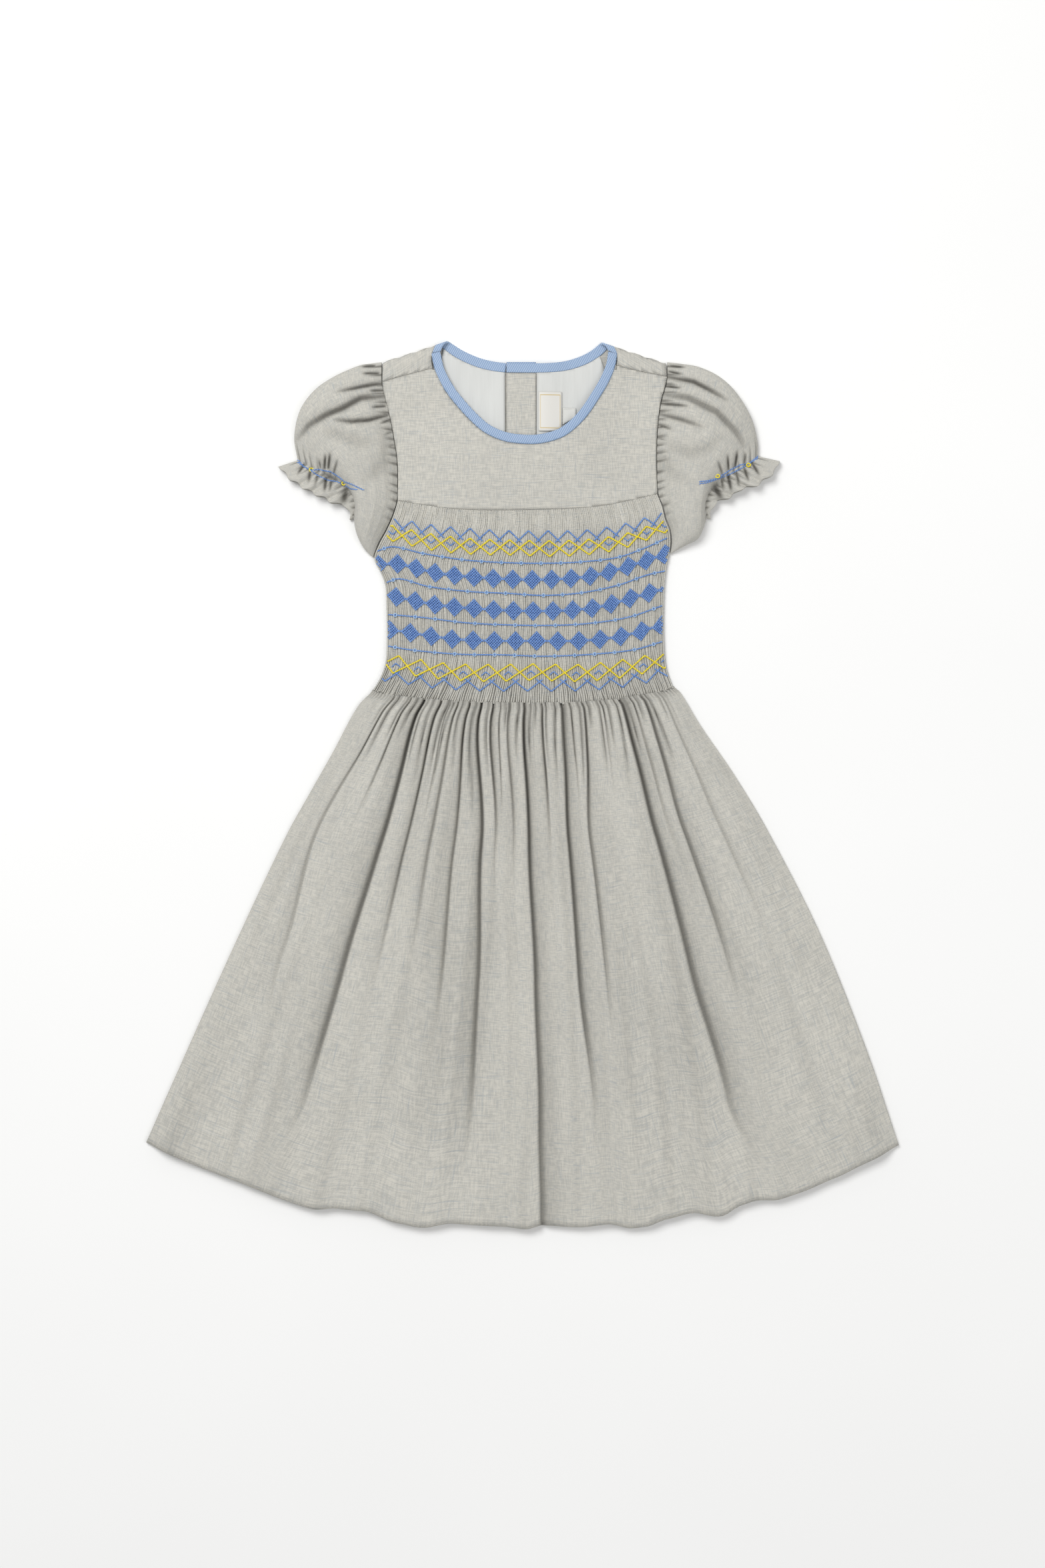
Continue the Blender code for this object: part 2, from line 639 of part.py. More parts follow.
def sleeve(name, lines):
    # A puffed tube, flat beneath, gathered at cap and cuff, with a ruffle past the cuff row.
    armhole = curve_through(lines["armhole"])
    cuff = curve_through(lines["cuff"])
    ruffle = curve_through(lines["ruffle"])
    puff = patch(curve_through(lines["top"]), curve_through(lines["under"]), armhole, cuff)
    inward = 1 if lines["ruffle"][0][0] < 0 else -1
    around = [(share, True) for share in SLEEVE_OVER] + [(share, False) for share in SLEEVE_UNDER]

    def flat(share, along, past):
        if past == 0.0:
            return puff(share, along)
        return cuff(share).lerp(ruffle(share), past)

    def rise(share, along, past, top, edge):
        bulge = (1 - abs(2 * share - 1) ** 2.4) ** 0.45
        middle = math.sin(math.pi * share)
        cap = CAP_GATHER_HEIGHT * fade(along, 0.10, 0.5) * fade(-along, -0.05, 0.05)
        row = CUFF_GATHER_HEIGHT * fade(-along, -1.0, 0.35) * fade(past, 0.0, 0.4)
        turn = 2 * math.pi * share
        gathers = cap * math.cos(CAP_GATHERS * turn) + row * math.cos(CUFF_GATHERS * turn)
        waves = RUFFLE_WAVE_HEIGHT * math.sin(RUFFLE_WAVES * turn) * past
        return edge + (top - edge) * bulge + middle * (gathers + waves)

    bm = bmesh.new()
    rows = grid_rows(bm, len(around), len(SLEEVE_STATIONS) - 1)
    for (along, past, top, edge), row in zip(SLEEVE_STATIONS, rows):
        for index, vertex in enumerate(row):
            share, upper = around[index % len(around)]
            x, y = flat(share, along, past)
            low = max(edge * (1 - (1 - abs(2 * share - 1) ** 6) ** (1 / 6)) - 0.35, 0.0)
            z = rise(share, along, past, top, edge) if upper else low
            vertex.co = Vector((x, y, z)) * MM
    bmesh.ops.remove_doubles(bm, verts=bm.verts, dist=1e-6)
    return thickened(finished(bm, name, "wool cloth"), WALL, inward)


def button(index, y):
    # A turned button under the opening, its rim facing the surface.
    bm = bmesh.new()
    points = [bm.verts.new(Vector((radius, 0, height)) * MM) for radius, height in reversed(BUTTON_PROFILE)]
    for start, end in zip(points, points[1:]):
        bm.edges.new((start, end))
    obj = finished(bm, f"button_{index}", "grey button", smooth=False)
    obj.location = Vector((0, y, 0)) * MM
    screw = obj.modifiers.new("Turn", "SCREW")
    screw.steps = 12
    screw.render_steps = 12
    screw.use_merge_vertices = True
    screw.merge_threshold = 1e-5
    return obj


for old in list(bpy.data.objects):
    bpy.data.objects.remove(old)
dress = bpy.data.collections.new("smocked_dress")
bpy.context.scene.collection.children.link(dress)

front_yoke()
smocked_front()
skirt_front()
skirt_back()
outside_left = SIDE_LEFT[::-1] + UNDERARM_LEFT[::-1][1:] + ARMHOLE_LEFT[1:-1]
outside_right = SIDE_RIGHT[::-1] + UNDERARM_RIGHT[::-1][1:] + ARMHOLE_RIGHT[1:-1]
neck_left = [(LAP_REACH, 311.6)] + NECK_BACK_LEFT + NECK_END_LEFT
back_bodice("back_left", outside_left, SHOULDER_LEFT, neck_left, LAP_REACH, left_lap)
neck_right = NECK_BACK_RIGHT + NECK_END_RIGHT
back_bodice("back_right", outside_right, SHOULDER_RIGHT, neck_right, -LAP_REACH, right_lap)
back_lining("back_lining_left", NECK_BACK_LEFT[:6], -66, -13, left_lap)
back_lining("back_lining_right", NECK_BACK_RIGHT[2:8], 69, 10.5, right_lap)
opening_facing()
label_piece("woven_label", 12, 29.4, 264, 293.5, 0)
label_piece("care_tab", 30, 40, 269, 281.5, 6)
neck_bindings()
sleeve("sleeve_left", LEFT_SLEEVE)
sleeve("sleeve_right", RIGHT_SLEEVE)
for number, height in enumerate(BUTTON_HEIGHTS, start=1):
    button(number, height)
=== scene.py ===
import bisect
import functools
import math

import bmesh
import bpy
from mathutils import Matrix, Vector, noise


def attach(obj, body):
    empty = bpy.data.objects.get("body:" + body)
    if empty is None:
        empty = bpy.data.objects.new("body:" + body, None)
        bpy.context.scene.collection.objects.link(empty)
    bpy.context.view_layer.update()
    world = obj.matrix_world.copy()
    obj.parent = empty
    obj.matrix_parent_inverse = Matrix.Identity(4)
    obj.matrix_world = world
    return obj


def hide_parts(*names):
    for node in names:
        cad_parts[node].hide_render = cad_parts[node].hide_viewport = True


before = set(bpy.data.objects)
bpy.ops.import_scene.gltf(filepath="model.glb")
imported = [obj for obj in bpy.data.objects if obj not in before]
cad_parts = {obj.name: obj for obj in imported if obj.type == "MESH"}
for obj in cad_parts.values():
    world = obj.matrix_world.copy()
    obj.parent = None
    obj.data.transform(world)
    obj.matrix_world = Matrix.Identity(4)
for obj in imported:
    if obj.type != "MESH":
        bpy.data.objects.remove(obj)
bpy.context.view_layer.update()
mm = 0.001  # sizes and places below are in millimetres, and become metres when a mesh is made

# what the pieces share with the frame: gaps, walls and how high each layer lies
layers = {
    "wall": 1.2, "liningWall": 1.0, "bindingWall": 1.8, "neckGap": 0.15, "seamGap": 0.15,
    "leftLap": 1.9, "rightLap": 3.4, "lapFlat": 14.0, "leftLapFade": 22.0, "rightLapFade": 24.0,
    "frontEdge": 3.2, "yokeDome": 4.8, "smockedDome": 2.2, "domeFlat": 30.0, "domeFade": 60.0,
    "sideSeam": 1.5, "foldY": 328.0, "foldX": 68.0, "foldSlope": 0.32,
}

# seams that several pieces meet at, x and y
seams = {
    "armholeLeft": [(-93.5, 212), (-93, 225), (-93.5, 243), (-98, 270.5), (-103.5, 293), (-105, 301)],
    "armholeRight": [(101, 217), (100, 238), (100.5, 263), (103, 285.5), (106.5, 298), (108, 305)],
    "underarmLeft": [(-93.5, 212), (-97, 200.5), (-102, 189.5), (-107, 180.5), (-111, 169)],
    "underarmRight": [(101, 217), (104.5, 208), (107, 198), (110, 190), (111, 181), (110, 172)],
    "sideLeft": [(-111, 169), (-106, 158), (-103, 150), (-102, 138), (-102, 96), (-105, 83), (-112, 70)],
    "sideRight": [(110, 172), (108, 163), (106.5, 150), (106, 138), (106, 108), (108, 87), (113, 72.5)],
    "yoke": [(-93.5, 212), (-47, 205.5), (8, 205), (58, 208), (101, 217)],
    "waist": [(-112, 70), (-92, 65), (-42, 61), (8, 60), (58, 61.5), (98, 67.5), (113, 72.5)],
    "shoulderLeft": [(-105, 301), (-92, 305), (-72, 310), (-67.2, 311.2)],
    "shoulderRight": [(108, 305), (83, 310), (69.6, 313.5)],
}


# Curves and surfaces

def curveThrough(points):
    # smooth curve through the points, read by the share of its length
    knots = [Vector(point) for point in points]
    lengths = [0.0]
    for start, end in zip(knots, knots[1:]):
        lengths.append(lengths[-1] + (end - start).length)

    def slope(index):
        before = max(index - 1, 0)
        after = min(index + 1, len(knots) - 1)
        return (knots[after] - knots[before]) / (lengths[after] - lengths[before])

    @functools.lru_cache(maxsize=None)
    def at(share):
        distance = share * lengths[-1]
        index = min(max(bisect.bisect_right(lengths, distance) - 1, 0), len(knots) - 2)
        span = lengths[index + 1] - lengths[index]
        t = (distance - lengths[index]) / span
        ease = t * t * (3 - 2 * t)
        leave = t * (1 - t) ** 2 * span
        arrive = t * t * (t - 1) * span
        between = knots[index].lerp(knots[index + 1], ease)
        return between + slope(index) * leave + slope(index + 1) * arrive

    return at


def beside(curve, distance):
    # the curve moved to the left of its direction
    @functools.lru_cache(maxsize=None)
    def at(share):
        tangent = (curve(min(share + 0.002, 1.0)) - curve(max(share - 0.002, 0.0))).normalized()
        return curve(share) + Vector((-tangent.y, tangent.x)) * distance

    return at


def patchBetween(left, right, bottom, top):
    corners = [bottom(0), bottom(1), top(0), top(1)]

    def at(u, v):
        across = left(v) * (1 - u) + right(v) * u
        upwards = bottom(u) * (1 - v) + top(u) * v
        low = corners[0] * (1 - u) + corners[1] * u
        high = corners[2] * (1 - u) + corners[3] * u
        return across + upwards - (low * (1 - v) + high * v)

    return at


def tableValue(table, place):
    rows = [row[0] for row in table]
    index = min(max(bisect.bisect_right(rows, place) - 1, 0), len(rows) - 2)
    t = min(max((place - rows[index]) / (rows[index + 1] - rows[index]), 0.0), 1.0)
    ease = t * t * (3 - 2 * t)
    return table[index][1] * (1 - ease) + table[index + 1][1] * ease


def fade(distance, start, length):
    t = min(max((distance - start) / length, 0.0), 1.0)
    return 0.5 + 0.5 * math.cos(math.pi * t)


def ripple(x, y, seed=0.0):
    # smooth uneven value between about -1 and 1, the same on each run
    return noise.noise(Vector((x, y, seed)))


def pointsAlong(curve, count):
    return [curve(index / count) for index in range(count + 1)]


def leftLap(x):
    return layers["leftLap"] * fade(abs(x), layers["lapFlat"], layers["leftLapFade"])


def rightLap(x):
    return layers["rightLap"] * fade(abs(x), layers["lapFlat"], layers["rightLapFade"])


def frontFloor(x, y):
    dome = layers["smockedDome"] + (layers["yokeDome"] - layers["smockedDome"]) * fade(-y, -250, 45)
    return layers["frontEdge"] + dome * fade(abs(x), layers["domeFlat"], layers["domeFade"])


def foldedOver(x, y, rise):
    # a place on the back cloth, taken over the shoulder and down the front
    crest = layers["foldY"] - layers["foldSlope"] * (abs(x) - layers["foldX"])
    radius = (frontFloor(x, layers["foldY"]) + rise) / 2
    past = y - crest + radius
    if past <= 0:
        return Vector((x, y, 0))
    if past < math.pi * radius:
        turn = past / radius
        return Vector((x, crest - radius + radius * math.sin(turn), radius * (1 - math.cos(turn))))
    return Vector((x, crest - radius - (past - math.pi * radius), 2 * radius))


# Materials

def toLinear(code):
    channels = [int(code[index:index + 2], 16) / 255 for index in (1, 3, 5)]
    return [c / 12.92 if c <= 0.04045 else ((c + 0.055) / 1.055) ** 2.4 for c in channels] + [1.0]


def addNode(tree, kind, inputs=None, **settings):
    # adds a node, sets its properties, and sets or links its inputs
    node = tree.nodes.new(kind)
    for name, value in settings.items():
        setattr(node, name, value)
    for name, value in (inputs or {}).items():
        if isinstance(value, bpy.types.NodeSocket):
            tree.links.new(value, node.inputs[name])
        else:
            node.inputs[name].default_value = value
    return node


def newMaterial(name, roughness, sheen=0.0, sheenRoughness=0.5, specular=0.5):
    material = bpy.data.materials.new(name)
    material.use_nodes = True
    shader = material.node_tree.nodes["Principled BSDF"]
    shader.inputs["Roughness"].default_value = roughness
    shader.inputs["Sheen Weight"].default_value = sheen
    shader.inputs["Sheen Roughness"].default_value = sheenRoughness
    shader.inputs["Specular IOR Level"].default_value = specular
    return material, material.node_tree, shader


def calculate(tree, operation, *values):
    return addNode(tree, "ShaderNodeMath", dict(enumerate(values)), operation=operation).outputs[0]


def blendColours(tree, share, first, second, mode="MIX"):
    # a colour is a code, a list of channels or another node's colour
    first, second = [toLinear(code) if isinstance(code, str) else code for code in (first, second)]
    inputs = {0: share, 6: first, 7: second}
    return addNode(tree, "ShaderNodeMix", inputs, data_type="RGBA", blend_type=mode).outputs[2]


def speckle(tree, where, scale, detail=2.0):
    inputs = {"Vector": where, "Scale": scale, "Detail": detail}
    return addNode(tree, "ShaderNodeTexNoise", inputs).outputs["Fac"]


def streaks(tree, where, across, along, detail=2.0, seed=0.0):
    # long thin marks of yarn: how many a metre across and along them
    inputs = {"Vector": where, "Scale": (across, along, 1), "Location": (seed, seed, 0)}
    return speckle(tree, addNode(tree, "ShaderNodeMapping", inputs).outputs[0], 1.0, detail)


def rampBetween(tree, value, low, high):
    inputs = {"Value": value, "From Min": low, "From Max": high}
    return addNode(tree, "ShaderNodeMapRange", inputs).outputs[0]


def clothPlace(tree):
    return addNode(tree, "ShaderNodeUVMap", uv_map="cloth").outputs[0]


def objectPlace(tree):
    return addNode(tree, "ShaderNodeTexCoord").outputs["Object"]


def separate(tree, where):
    return addNode(tree, "ShaderNodeSeparateXYZ", {0: where}).outputs


# paints shade into folds, creases and seams, as much as the depth attribute gives
def paintFoldShade(tree, colour, foldColour):
    # the depth attribute holds each point's painted shade
    depth = addNode(tree, "ShaderNodeAttribute", attribute_name="depth").outputs["Fac"]
    return blendColours(tree, depth, colour, foldColour)


def linkSurface(tree, shader, colour, height, strength, distance):
    # links a colour and a fine relief, whose distance is in metres, to the shader
    tree.links.new(colour, shader.inputs["Base Color"])
    bump = addNode(tree, "ShaderNodeBump", {"Height": height, "Strength": strength, "Distance": distance})
    tree.links.new(bump.outputs[0], shader.inputs["Normal"])


wool = {
    # the fold colour is the painted shade in folds, creases and seams
    "light": "#d9d5ca", "mid": "#c5c3bb", "dark": "#aaaaa5", "blue": "#98a2a9", "fold": "#3f3c36",
    "threadsPerMetre": 620.0, "roughness": 0.92, "sheen": 0.15, "midShare": 0.55, "blueShare": 0.42,
    # marks a metre across and along each kind of yarn mark, and where its ramp starts and ends
    "warp": (1150.0, 150.0), "weft": (125.0, 1100.0), "slubRamp": (0.82, 1.18),
    "longWeft": (44.0, 1000.0), "weftRamp": (0.58, 0.76),
    "longWarp": (1040.0, 48.0), "warpRamp": (0.60, 0.78),
    "clouds": (26.0, 20.0), "cloudTones": (0.96, 1.03), "bump": 0.22, "bumpHeight": 0.0004,
}


def makeWool(name, paintedLightLevel=1.0):
    # plain-woven melange wool: mixed cream and blue-grey yarns, dull, with a slight nap.
    # The yarns are 0.5 mm apart on the real cloth and 1.6 mm here, so that the render shows them.
    material, tree, shader = newMaterial(name, wool["roughness"], wool["sheen"], 0.4, 0.2)
    where = clothPlace(tree)
    warp = streaks(tree, where, *wool["warp"])
    weft = streaks(tree, where, *wool["weft"], seed=4.0)
    slubs = calculate(tree, "ADD", warp, weft)
    colour = blendColours(tree, rampBetween(tree, slubs, *wool["slubRamp"]), wool["dark"], wool["light"])
    colour = blendColours(tree, wool["midShare"], colour, wool["mid"])
    longWeft = rampBetween(tree, streaks(tree, where, *wool["longWeft"], 1.0, 9.0), *wool["weftRamp"])
    longWarp = rampBetween(tree, streaks(tree, where, *wool["longWarp"], 1.0, 17.0), *wool["warpRamp"])
    blueMarks = calculate(tree, "MAXIMUM", longWeft, longWarp)
    blueShare = calculate(tree, "MULTIPLY", blueMarks, wool["blueShare"])
    colour = blendColours(tree, blueShare, colour, wool["blue"])
    cloudy = rampBetween(tree, streaks(tree, where, *wool["clouds"], 3.0, 30.0), 0.3, 0.7)
    # the whole cloth painted a little lighter or darker by this level, standing in for how much light
    # falls on the part
    tones = [[level * paintedLightLevel] * 3 + [1.0] for level in wool["cloudTones"]]
    cloudyColour = blendColours(tree, cloudy, *tones)
    colour = blendColours(tree, 1.0, colour, cloudyColour, "MULTIPLY")
    # painted shade in the folds, creases and seams
    colour = paintFoldShade(tree, colour, wool["fold"])
    turns = 2 * math.pi * wool["threadsPerMetre"]
    split = separate(tree, where)
    waves = [calculate(tree, "SINE", calculate(tree, "MULTIPLY", split[axis], turns)) for axis in (0, 1)]
    woven = calculate(tree, "MULTIPLY", *waves)
    grain = calculate(tree, "MULTIPLY_ADD", woven, 0.5, slubs)
    linkSurface(tree, shader, colour, grain, wool["bump"], wool["bumpHeight"])
    return material


tape = {"base": "#7f9abf", "line": "#b9cae0", "pitch": 1.25, "angle": -25.0}


def makeTwillTape():
    # bias tape of cotton twill, blue warp and white weft, the lines 1.25 mm apart so that they show
    material, tree, shader = newMaterial("cotton twill tape", 0.85, 0.15, 0.4, 0.2)
    where = objectPlace(tree)
    inputs = {"Vector": where, "Rotation": (0, 0, math.radians(tape["angle"]))}
    turned = addNode(tree, "ShaderNodeMapping", inputs).outputs[0]
    turns = 2 * math.pi / (tape["pitch"] * mm)
    wave = calculate(tree, "SINE", calculate(tree, "MULTIPLY", separate(tree, turned)[0], turns))
    edge = calculate(tree, "MULTIPLY_ADD", speckle(tree, where, 900.0), 0.9, wave)
    colour = blendColours(tree, rampBetween(tree, edge, -0.1, 1.0), tape["base"], tape["line"])
    linkSurface(tree, shader, colour, wave, 0.4, 0.0003)
    return material


def makeLawn():
    # white cotton lawn, fine and slightly sheer, so only a faint grain and soft creases show
    material, tree, shader = newMaterial("white cotton lawn", 0.8, 0.1, 0.5, 0.3)
    grain = streaks(tree, clothPlace(tree), 500.0, 30.0)
    # painted shade in the lining's folds and along its seams
    colour = paintFoldShade(tree, blendColours(tree, grain, "#cfd0cd", "#dcddda"), "#8f8f8c")
    linkSurface(tree, shader, colour, grain, 0.2, 0.0003)
    return material


def makeYarn(name, dark, light):
    # mercerised embroidery cotton: glossy for a thread, each strand a little lighter on its crest
    material, tree, shader = newMaterial(name, 0.55, 0.2, 0.3, 0.4)
    strands = speckle(tree, objectPlace(tree), 700.0, 3.0)
    colour = blendColours(tree, rampBetween(tree, strands, 0.3, 0.7), dark, light)
    linkSurface(tree, shader, colour, strands, 0.5, 0.0003)
    return material


def makeSatinLabel(name, colour, line):
    # damask-woven polyester label, close and smooth, with a woven rule near its edges
    material, tree, shader = newMaterial(name, 0.45, 0.1, 0.4, 0.5)
    where = clothPlace(tree)
    split = separate(tree, where)
    middles = [calculate(tree, "SUBTRACT", split[axis], 0.5) for axis in (0, 1)]
    marks = [calculate(tree, "ABSOLUTE", middle) for middle in middles]
    rule = calculate(tree, "COMPARE", calculate(tree, "MAXIMUM", *marks), 0.42, 0.012)
    weave = speckle(tree, where, 60.0)
    linkSurface(tree, shader, blendColours(tree, rule, colour, line), weave, 0.15, 0.0002)
    return material


def makePearl():
    # pearly polyester button: smooth, with faint clouds of grey
    material, tree, shader = newMaterial("pearly polyester", 0.25, 0.0, 0.5, 0.6)
    clouds = speckle(tree, objectPlace(tree), 220.0, 3.0)
    tree.links.new(blendColours(tree, clouds, "#9aa0a4", "#c4c8ca"), shader.inputs["Base Color"])
    return material


woolYoke = makeWool("melange wool")
# a copy of the wool painted lighter, for the smocked panel, and one painted darker as shade, for the
# sleeves and the back of the skirt
woolPaintedLighter = makeWool("melange wool, painted lighter", 1.1)
woolPaintedDarker = makeWool("melange wool, painted darker", 0.97)
twillTape = makeTwillTape()
lawn = makeLawn()
blueYarn = makeYarn("blue embroidery cotton", "#567ec0", "#84a9e2")
paleYarn = makeYarn("pale blue embroidery cotton", "#8fb0d6", "#b9d2ec")
yellowYarn = makeYarn("yellow embroidery cotton", "#dcc620", "#fbe93c")
labelSatin = makeSatinLabel("woven label satin", "#dedcd6", "#cdb98a")
tabSatin = makeSatinLabel("care tab satin", "#d8d8d3", "#b4b5b1")
pearl = makePearl()
print("materials made")


# Making pieces

def finishPiece(bm, name, material, wall=0.0, side=-1.0):
    mesh = bpy.data.meshes.new(name)
    bm.to_mesh(mesh)
    bm.free()
    mesh.shade_smooth()
    mesh.materials.append(material)
    piece = bpy.data.objects.new(name, mesh)
    bpy.context.scene.collection.objects.link(piece)
    if wall:
        solidify = piece.modifiers.new("cloth wall", "SOLIDIFY")
        solidify.thickness = wall * mm
        solidify.offset = side
    return piece


def gridCloth(name, columns, rows, place, material, flat, wall=0.0, side=-1.0, closed=False):
    # cloth over a grid: place gives each point and how much painted shade it takes in folds, flat is the
    # size of the grid in the weave, and a closed one is joined where its sides meet
    bm = bmesh.new()
    grainLayer = bm.loops.layers.uv.new("cloth")
    # the depth layer holds each point's painted shade
    shadeLayer = bm.verts.layers.float.new("depth")
    bmesh.ops.create_grid(bm, x_segments=columns, y_segments=rows, size=0.5)
    for face in bm.faces:
        for loop in face.loops:
            u, v = loop.vert.co.x + 0.5, loop.vert.co.y + 0.5
            loop[grainLayer].uv = (u * flat[0] * mm, v * flat[1] * mm)
    for vertex in bm.verts:
        point, depth = place(vertex.co.x + 0.5, vertex.co.y + 0.5)
        vertex[shadeLayer] = depth
        vertex.co = point * mm
    if closed:
        bmesh.ops.remove_doubles(bm, verts=bm.verts, dist=1e-6)
    return finishPiece(bm, name, material, wall, side)


def cutCloth(name, outline, pitch, place, material, wall, side, seamRoll=0.3, seamWidth=0.9):
    # cloth cut to an outline, scored into small squares, with edges that roll down into their seams and
    # take a little painted shade there
    area = sum(a[0] * b[1] - b[0] * a[1] for a, b in zip(outline, outline[1:] + outline[:1]))
    if area < 0:
        outline = outline[::-1]
    bm = bmesh.new()
    face = bm.faces.new([bm.verts.new((x, y, 0)) for x, y in outline])
    bmesh.ops.inset_region(bm, faces=[face], thickness=seamWidth, use_even_offset=True)
    xs = [point[0] for point in outline]
    ys = [point[1] for point in outline]
    upright = range(1, int((max(xs) - min(xs)) / pitch) + 1)
    level = range(1, int((max(ys) - min(ys)) / pitch) + 1)
    scores = [((min(xs) + pitch * step, 0, 0), (1, 0, 0)) for step in upright]
    scores += [((0, min(ys) + pitch * step, 0), (0, 1, 0)) for step in level]
    for middle, normal in scores:
        everything = bm.verts[:] + bm.edges[:] + bm.faces[:]
        bmesh.ops.bisect_plane(bm, geom=everything, dist=0.25, plane_co=middle, plane_no=normal)
    bmesh.ops.triangulate(bm, faces=bm.faces[:])
    grainLayer = bm.loops.layers.uv.new("cloth")
    # the depth layer holds each point's painted shade
    shadeLayer = bm.verts.layers.float.new("depth")
    for face in bm.faces:
        for loop in face.loops:
            loop[grainLayer].uv = loop.vert.co.xy * mm
    for vertex in bm.verts:
        atEdge = vertex.is_boundary
        point, depth = place(vertex.co.x, vertex.co.y)
        point = Vector(point)
        if atEdge:
            point.z += seamRoll * side
        # a point on the cut edge takes at least a little painted shade along its seam
        vertex[shadeLayer] = max(depth, 0.15 if atEdge else 0.0)
        vertex.co = point * mm
    return finishPiece(bm, name, material, wall, side)


def sewOn(piece, slotName, *nodes):
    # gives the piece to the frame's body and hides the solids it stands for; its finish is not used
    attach(piece, "root")
    if nodes:
        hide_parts(*nodes)


# Skirt

skirt = {
    "left": [
        (-112, 70), (-123.5, 58), (-142, 24), (-159.5, -7), (-177, -38.5), (-217, -123), (-267, -234.5),
        (-282, -268.5),
    ],
    "right": [
        (113, 72.5), (118, 69), (133, 44.5), (158, 8), (183, -33.5), (223, -112), (258, -199.5),
        (282, -270.5),
    ],
    "hemRadius": 653.0, "hemCentre": 321.6, "wall": 0.9,
    "lift": 8.0, "waistShare": 0.62, "sideRound": 26.0, "hemRound": 16.0,
    "columns": 300, "rows": 110, "gathers": 52, "gatherHeight": 2.2, "pleatHeight": 0.9,
    "bulge": 0.6, "softFolds": 1.7, "streaks": 0.8, "softShade": 0.16, "streakShade": 0.18,
    # a crease: how its line widens downwards, how far core and shoulder reach on the lit and the shaded
    # side, in widths of the line, and how deep each sinks and how dark its painted shade is
    "line": (0.7, 0.8), "coreReach": (0.6, 1.2), "shoulderReach": (0.7, 6.0),
    "coreDepth": 0.42, "shoulderDepth": 0.34, "coreShade": 0.60, "shoulderShade": 0.26,
    # a slit between gathers: its reach as a share of the length, how much that varies, and the least
    "slitReach": 0.12, "slitUneven": 0.24, "slitLeast": 0.06, "slitShade": 0.92, "pleatShade": 0.6,
    "flat": (620.0, 405.0), "backFlat": (600.0, 405.0),
    # how far the hem dips below its arc where a fold comes down: x, drop
    "hemDips": [
        (-282, 0.5), (-217, 1), (-158, 4.9), (-137, 0), (-117, -1.9), (-94.5, 2.9), (-77, 4.1),
        (-52, -1.4), (-17, -1.3), (3, 0.5), (14, -1.9), (46, 0.6), (63, 0), (84, 5.2), (93, 5.2),
        (108, 2), (125, 0.7), (150, 8), (163, 3.7), (173, 2.8), (193, 7.2), (208, 7), (233, 5.5),
        (258, 3.6), (282, 2),
    ],
    # shares of the width at the waist, at 28, 54 and 80 in a hundred of the way down and at the hem,
    # then depth, width of the line, sunk and painted with shade, side that is shaded (-1 left, 1 right),
    # and share of the way down where it ends
    "creases": [
        (0.078, 0.052, 0.076, 0.100, 0.106, 0.45, 1.2, -1, 0.75),
        (0.130, 0.118, 0.120, 0.135, 0.130, 0.35, 0.9, 1, 0.35),
        (0.177, 0.188, 0.180, 0.176, 0.150, 1.00, 1.8, -1, 0.95),
        (0.233, 0.240, 0.238, 0.240, 0.230, 0.75, 1.0, -1, 0.62),
        (0.262, 0.268, 0.270, 0.270, 0.270, 0.55, 0.8, 1, 0.30),
        (0.288, 0.291, 0.295, 0.300, 0.288, 0.60, 1.0, -1, 0.60),
        (0.326, 0.343, 0.349, 0.352, 0.350, 0.75, 1.1, -1, 0.75),
        (0.364, 0.402, 0.413, 0.417, 0.414, 1.00, 1.3, -1, 0.95),
        (0.400, 0.432, 0.452, 0.462, 0.465, 0.80, 1.0, 1, 0.40),
        (0.428, 0.448, 0.468, 0.476, 0.480, 0.45, 0.8, 1, 0.18),
        (0.452, 0.472, 0.482, 0.492, 0.494, 0.60, 0.9, 1, 0.42),
        (0.501, 0.505, 0.512, 0.520, 0.526, 1.00, 1.5, 1, 1.45),
        (0.530, 0.530, 0.532, 0.540, 0.545, 0.50, 0.8, 1, 0.20),
        (0.560, 0.552, 0.552, 0.566, 0.570, 0.70, 1.0, -1, 0.38),
        (0.622, 0.592, 0.588, 0.602, 0.608, 1.00, 1.5, 1, 0.88),
        (0.650, 0.618, 0.612, 0.620, 0.625, 0.40, 0.8, -1, 0.25),
        (0.690, 0.640, 0.636, 0.638, 0.642, 0.65, 1.3, 1, 0.72),
        (0.750, 0.706, 0.706, 0.716, 0.736, 0.45, 0.9, 1, 0.22),
        (0.813, 0.783, 0.781, 0.797, 0.833, 1.00, 1.9, 1, 0.98),
        (0.848, 0.814, 0.812, 0.824, 0.856, 0.40, 1.0, 1, 0.45),
        (0.885, 0.844, 0.846, 0.850, 0.884, 0.75, 1.5, 1, 0.70),
        (0.944, 0.918, 0.922, 0.922, 0.945, 0.35, 1.1, 1, 0.60),
    ],
    "creaseLevels": (0.0, 0.28, 0.54, 0.80, 1.0),
}


def hemLine(inset):
    @functools.lru_cache(maxsize=None)
    def at(share):
        x = skirt["left"][-1][0] + (skirt["right"][-1][0] - skirt["left"][-1][0]) * share
        arc = skirt["hemCentre"] - math.sqrt(skirt["hemRadius"] ** 2 - x * x)
        return Vector((x, arc - tableValue(skirt["hemDips"], x) + inset))

    return at


def skirtOutline(inset):
    left = curveThrough(skirt["left"][::-1])
    right = curveThrough(skirt["right"][::-1])
    return patchBetween(left, right, hemLine(inset), curveThrough(seams["waist"]))


@functools.lru_cache(maxsize=None)
def creaseShares(v):
    return [tableValue(list(zip(skirt["creaseLevels"], crease[:5])), v) for crease in skirt["creases"]]


